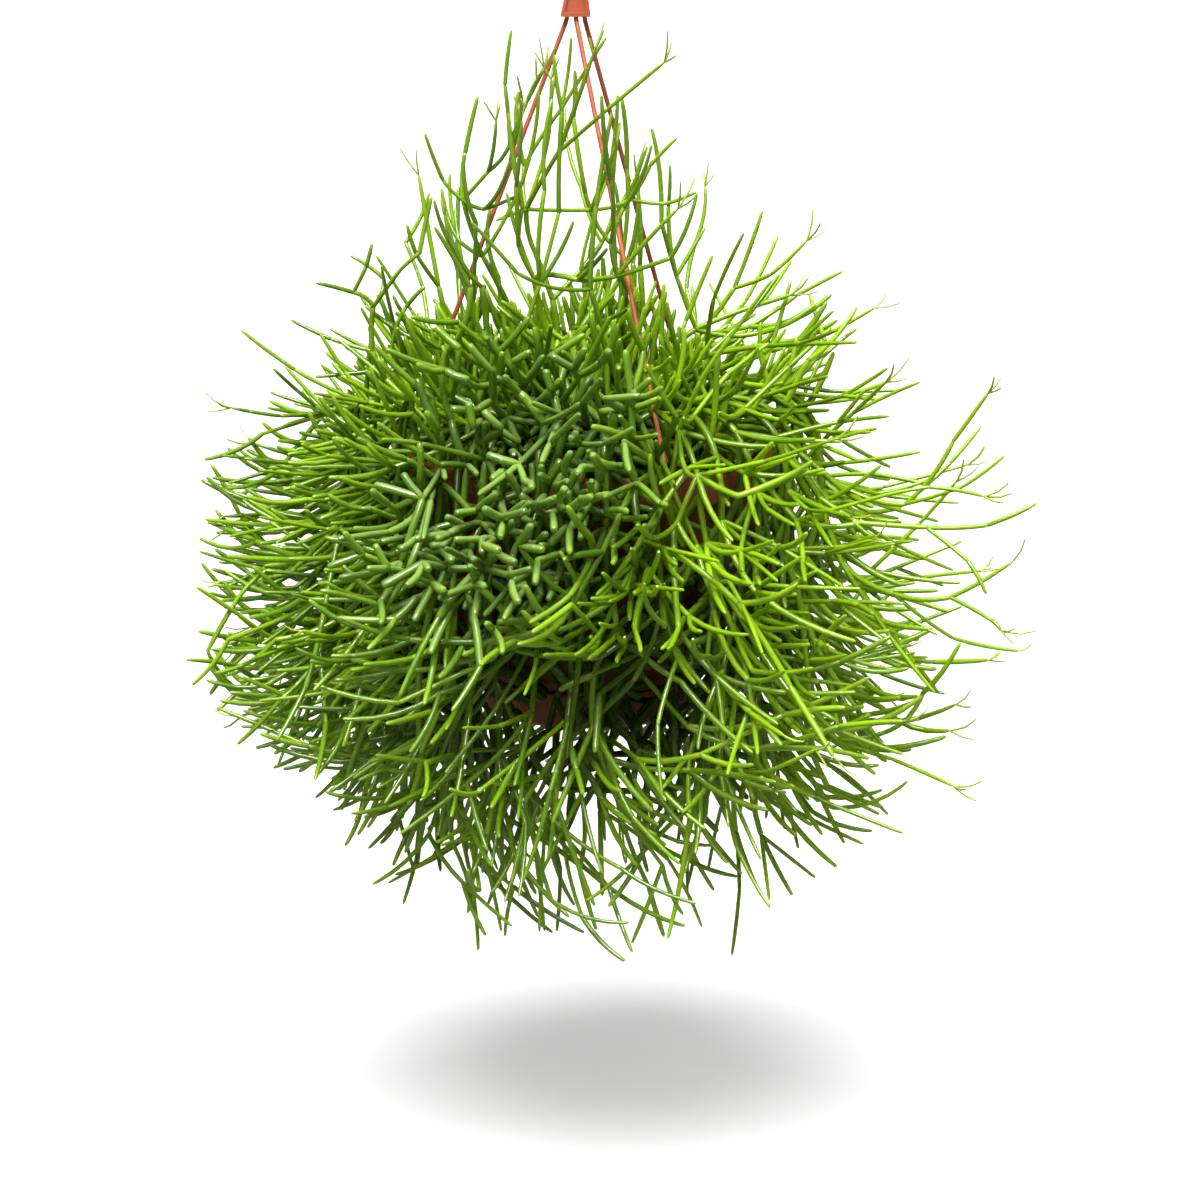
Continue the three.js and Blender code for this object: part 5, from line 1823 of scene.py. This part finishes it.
def stem_skin():
    """Green skin: paler where it is young, at tips and in patches, waxy where old with a painted sheen on
    faces that look up, darkened deep inside by painted shade, brown at its joints.
    """
    material, tree, shader = new_material("stem_skin", SKIN_ROUGHNESS)
    old, tint, inner = value_of(tree, "old"), value_of(tree, "tint"), value_of(tree, "inner")
    along, fresh = value_of(tree, "along"), value_of(tree, "fresh")
    paleness = ranged(tree, tint, TINT_DARKEST, TINT_PALEST)
    young = mixed(tree, paleness, DEEP_GREEN, YOUNG_GREEN)
    aged = mixed(tree, paleness, OLD_DARK, OLD_GREEN)
    colour = mixed(tree, old, young, aged)
    patches = ranged(tree, cloud(tree, PATCH_SCALE), 0.35, 0.75, 0.0, 0.35)
    colour = mixed(tree, patches, colour, YOUNG_GREEN)
    normal = add_node(tree, "ShaderNodeNewGeometry").outputs["Normal"]
    upward = add_node(tree, "ShaderNodeSeparateXYZ", {0: normal}).outputs[2]
    # Painted sheen: the pale wax colour is laid only on faces that look up, as a highlight where the light
    # falls on top
    wax_and_sheen_here = ranged(tree, old, 0.2, 1.0, WAX_SHEEN_YOUNG, WAX_SHEEN_OLD)
    colour = mixed(tree, product(tree, ranged(tree, upward, 0.1, 0.95), wax_and_sheen_here), colour, WAX_AND_PAINTED_SHEEN)
    tip = product(tree, ranged(tree, along, 0.8, 1.0), ranged(tree, old, 0.0, 1.0, 0.5, 0.0))
    colour = mixed(tree, tip, colour, TIP_GREEN)
    colour = mixed(tree, ranged(tree, along, 0.0, 0.05, 0.4, 0.0), colour, JOINT_BROWN)
    specks = add_node(tree, "ShaderNodeTexVoronoi", {"Vector": own_place(tree), "Scale": SPECK_SCALE})
    areole = ranged(tree, specks.outputs["Distance"], SPECK_R, SPECK_FADED_R, SPECK_SHARE, 0.0)
    colour = mixed(tree, areole, colour, AREOLE_PALE)
    # Painted shade: stems deep inside and near the pot are darkened towards the darkest green
    colour = mixed(tree, ranged(tree, inner, 0.0, 1.0, 0.0, PAINTED_SHADE_SHARE), colour, PAINTED_SHADE_GREEN)
    colour = mixed(tree, fresh, colour, HAIR_GREEN)
    tree.links.new(colour, shader.inputs["Base Color"])
    # and less shine in the same painted shade
    shine = ranged(tree, inner, 0.0, 1.0, SKIN_SHINE, SHADED_SHINE)
    tree.links.new(shine, shader.inputs["Specular IOR Level"])
    ridges = worked_out(tree, "ADD", cloud(tree, RIDGE_SCALE, 3.0), product(tree, areole, SPECK_HEIGHT))
    relief(tree, shader, ridges, SKIN_RELIEF, SKIN_RELIEF_SHARE)
    return material


# The pot and the saucer are one terracotta plastic: the pot's copy is darkened as painted shade under the
# foliage, the saucer's made paler as painted light
SHADED_POT_BROWN = (0.15, 0.030, 0.008, 1)
SHADED_POT_PALE = (0.25, 0.058, 0.016, 1)
LIT_SAUCER_BROWN = (0.40, 0.125, 0.055, 1)
LIT_SAUCER_PALE = (0.54, 0.21, 0.11, 1)
POT_DUST = (0.45, 0.33, 0.24, 1)
HANGER_LIGHT = (0.60, 0.16, 0.065, 1)
HANGER_DARK = (0.44, 0.10, 0.04, 1)


PLASTIC_SHINE = 0.35
STREAK_SCALE, STREAK_STRETCH, DUST_SCALE, WEAR_SCALE, GRAIN_SCALE = 85.0, (1.0, 1.0, 0.18), 38, 130, 1600
GRAIN_RELIEF, GRAIN_RELIEF_SHARE = 0.00012, 0.5
SMOOTHER, ROUGHER = 0.07, 0.12


def moulded_plastic(name, dark, light, dust, dust_share, roughness):
    """Cheap moulded plastic: faint flow streaks, fine grain, and dust that has dried on."""
    material, tree, shader = new_material(name, roughness, PLASTIC_SHINE)
    place = add_node(tree, "ShaderNodeMapping", {"Vector": own_place(tree), "Scale": STREAK_STRETCH})
    streaks = add_node(tree, "ShaderNodeTexNoise", {
        "Vector": place.outputs[0], "Scale": STREAK_SCALE, "Detail": 3.0,
    })
    colour = mixed(tree, ranged(tree, streaks.outputs[0], 0.3, 0.7), dark, light)
    marks = product(tree, ranged(tree, cloud(tree, DUST_SCALE, 6.0, 0.7), 0.5, 0.72), dust_share)
    colour = mixed(tree, marks, colour, dust)
    tree.links.new(colour, shader.inputs["Base Color"])
    wear = cloud(tree, WEAR_SCALE, 3.0)
    rough = ranged(tree, wear, 0.3, 0.7, roughness - SMOOTHER, roughness + ROUGHER)
    tree.links.new(rough, shader.inputs["Roughness"])
    relief(tree, shader, cloud(tree, GRAIN_SCALE, 2.0), GRAIN_RELIEF, GRAIN_RELIEF_SHARE)
    return material


SOIL_DARK = (0.018, 0.011, 0.007, 1)
SOIL_BROWN = (0.085, 0.052, 0.030, 1)
FIBRE_TAN = (0.19, 0.12, 0.065, 1)


SOIL_ROUGHNESS, SOIL_SHINE = 0.95, 0.2
DAMP_SCALE, FIBRE_SCALE, CLOD_SCALE, CLOD_RELIEF = 160, 620, 700, 0.0009


def potting_soil():
    """Dark, damp peat with paler fibres."""
    material, tree, shader = new_material("potting_soil", SOIL_ROUGHNESS, SOIL_SHINE)
    damp = ranged(tree, cloud(tree, DAMP_SCALE, 5.0, 0.7), 0.35, 0.7)
    colour = mixed(tree, damp, SOIL_DARK, SOIL_BROWN)
    colour = mixed(tree, ranged(tree, cloud(tree, FIBRE_SCALE, 2.0), 0.62, 0.72), colour, FIBRE_TAN)
    tree.links.new(colour, shader.inputs["Base Color"])
    relief(tree, shader, cloud(tree, CLOD_SCALE, 5.0, 0.7), CLOD_RELIEF)
    return material


# Studio
FLOOR_Z = -0.598
FLOOR_HALF = 14.0
LOOK_AT = (0.0112, 0.0, -0.3346)
CAMERA_DISTANCE = 2.0
CAMERA_RISE_DEG = 12.0
FRAME_WIDTH = 0.5684  # what the photograph's frame spans at the plant's axis
SENSOR, CLIP_END = 36.0, 60
FLOOR_PALE = (0.55, 0.55, 0.55, 1)
FLOOR_PALER = (0.57, 0.57, 0.57, 1)
FLOOR_ROUGHNESS, FLOOR_CLOUDS = 0.9, 0.4
FLOOR_DARK = (0.22, 0.22, 0.22, 1)  # its colour for all rays but the camera's
FLOOR_GLOW = 0.5  # for the camera's alone, so that the floor looks pale and lights no stem from below
WHITE = (1, 1, 1, 1)
AMBIENT, AMBIENT_SHINE = 0.094, 0.03  # the air's light, and what of it shows in shiny skin
SUN_STRENGTH = 7.2
SUN_SPREAD_DEG = 46
SUN_TILT_DEG = (24, -5, 0)
GLEAM_STRENGTH, GLEAM_SPREAD_DEG = 8.5, 12  # seen only in what shines
GLEAM_TILT_DEG = (34, -6, 0)


def make_floor():
    floor = new_piece("studio_floor", [
        (-FLOOR_HALF, -FLOOR_HALF, FLOOR_Z), (FLOOR_HALF, -FLOOR_HALF, FLOOR_Z),
        (FLOOR_HALF, FLOOR_HALF, FLOOR_Z), (-FLOOR_HALF, FLOOR_HALF, FLOOR_Z),
    ], [], [(0, 1, 2, 3)])
    material, tree, shader = new_material("floor_paint", FLOOR_ROUGHNESS, 0.0)
    faint = ranged(tree, cloud(tree, FLOOR_CLOUDS), 0.3, 0.7)
    seen = add_node(tree, "ShaderNodeLightPath").outputs["Is Camera Ray"]
    pale = mixed(tree, faint, FLOOR_PALE, FLOOR_PALER)
    tree.links.new(mixed(tree, seen, FLOOR_DARK, pale), shader.inputs["Base Color"])
    shader.inputs["Emission Color"].default_value = WHITE
    tree.links.new(ranged(tree, seen, 0.0, 1.0, 0.0, FLOOR_GLOW), shader.inputs["Emission Strength"])
    floor.data.materials.append(material)


def new_sun(name, strength, spread, tilt):
    sun = bpy.data.objects.new(name, bpy.data.lights.new(name, "SUN"))
    sun.data.energy = strength
    sun.data.angle = math.radians(spread)
    sun.rotation_euler = [math.radians(turn) for turn in tilt]
    bpy.context.scene.collection.objects.link(sun)
    return sun


def make_lights():
    new_sun("soft_overhead", SUN_STRENGTH, SUN_SPREAD_DEG, SUN_TILT_DEG).visible_glossy = False
    new_sun("gleam", GLEAM_STRENGTH, GLEAM_SPREAD_DEG, GLEAM_TILT_DEG).visible_diffuse = False


def make_air():
    world = bpy.data.worlds.new("studio_air")
    world.use_nodes = True
    tree = world.node_tree
    back = tree.nodes["Background"]
    back.inputs["Color"].default_value = WHITE
    ray = add_node(tree, "ShaderNodeLightPath")
    shone = ranged(tree, ray.outputs["Is Glossy Ray"], 0.0, 1.0, AMBIENT, AMBIENT_SHINE)
    strength = ranged(tree, ray.outputs["Is Camera Ray"], 0.0, 1.0, shone, 1.0)
    tree.links.new(strength, back.inputs["Strength"])
    bpy.context.scene.world = world
    bpy.context.scene.view_settings.view_transform = "Standard"


def make_camera():
    rise = math.radians(CAMERA_RISE_DEG)
    target = Vector(LOOK_AT)
    away = Vector((0, -math.cos(rise), math.sin(rise)))
    data = bpy.data.cameras.new("camera")
    data.sensor_width = SENSOR
    data.lens = SENSOR * CAMERA_DISTANCE / FRAME_WIDTH
    data.clip_end = CLIP_END
    camera = bpy.data.objects.new("camera", data)
    camera.location = target + away * CAMERA_DISTANCE
    camera.rotation_euler = (-away).to_track_quat("-Z", "Y").to_euler()
    bpy.context.scene.collection.objects.link(camera)
    bpy.context.scene.camera = camera


make_camera()
make_lights()
make_air()
make_floor()
grow_fine()
make_stems(stem_tree(), stem_skin())
# Painted shade in the pot's darker copy of the plastic, painted light in the saucer's paler one
make_pot(moulded_plastic("terracotta_plastic_painted_shade", SHADED_POT_BROWN, SHADED_POT_PALE, POT_DUST, 0.1, 0.48))
make_saucer(moulded_plastic("saucer_plastic_painted_light", LIT_SAUCER_BROWN, LIT_SAUCER_PALE, POT_DUST, 0.3, 0.5))
make_soil(crumb_tree(), potting_soil())
orange = moulded_plastic("hanger_plastic", HANGER_DARK, HANGER_LIGHT, HANGER_LIGHT, 0.2, 0.42)
make_hook(orange)
make_strands(rope_tree(), orange)
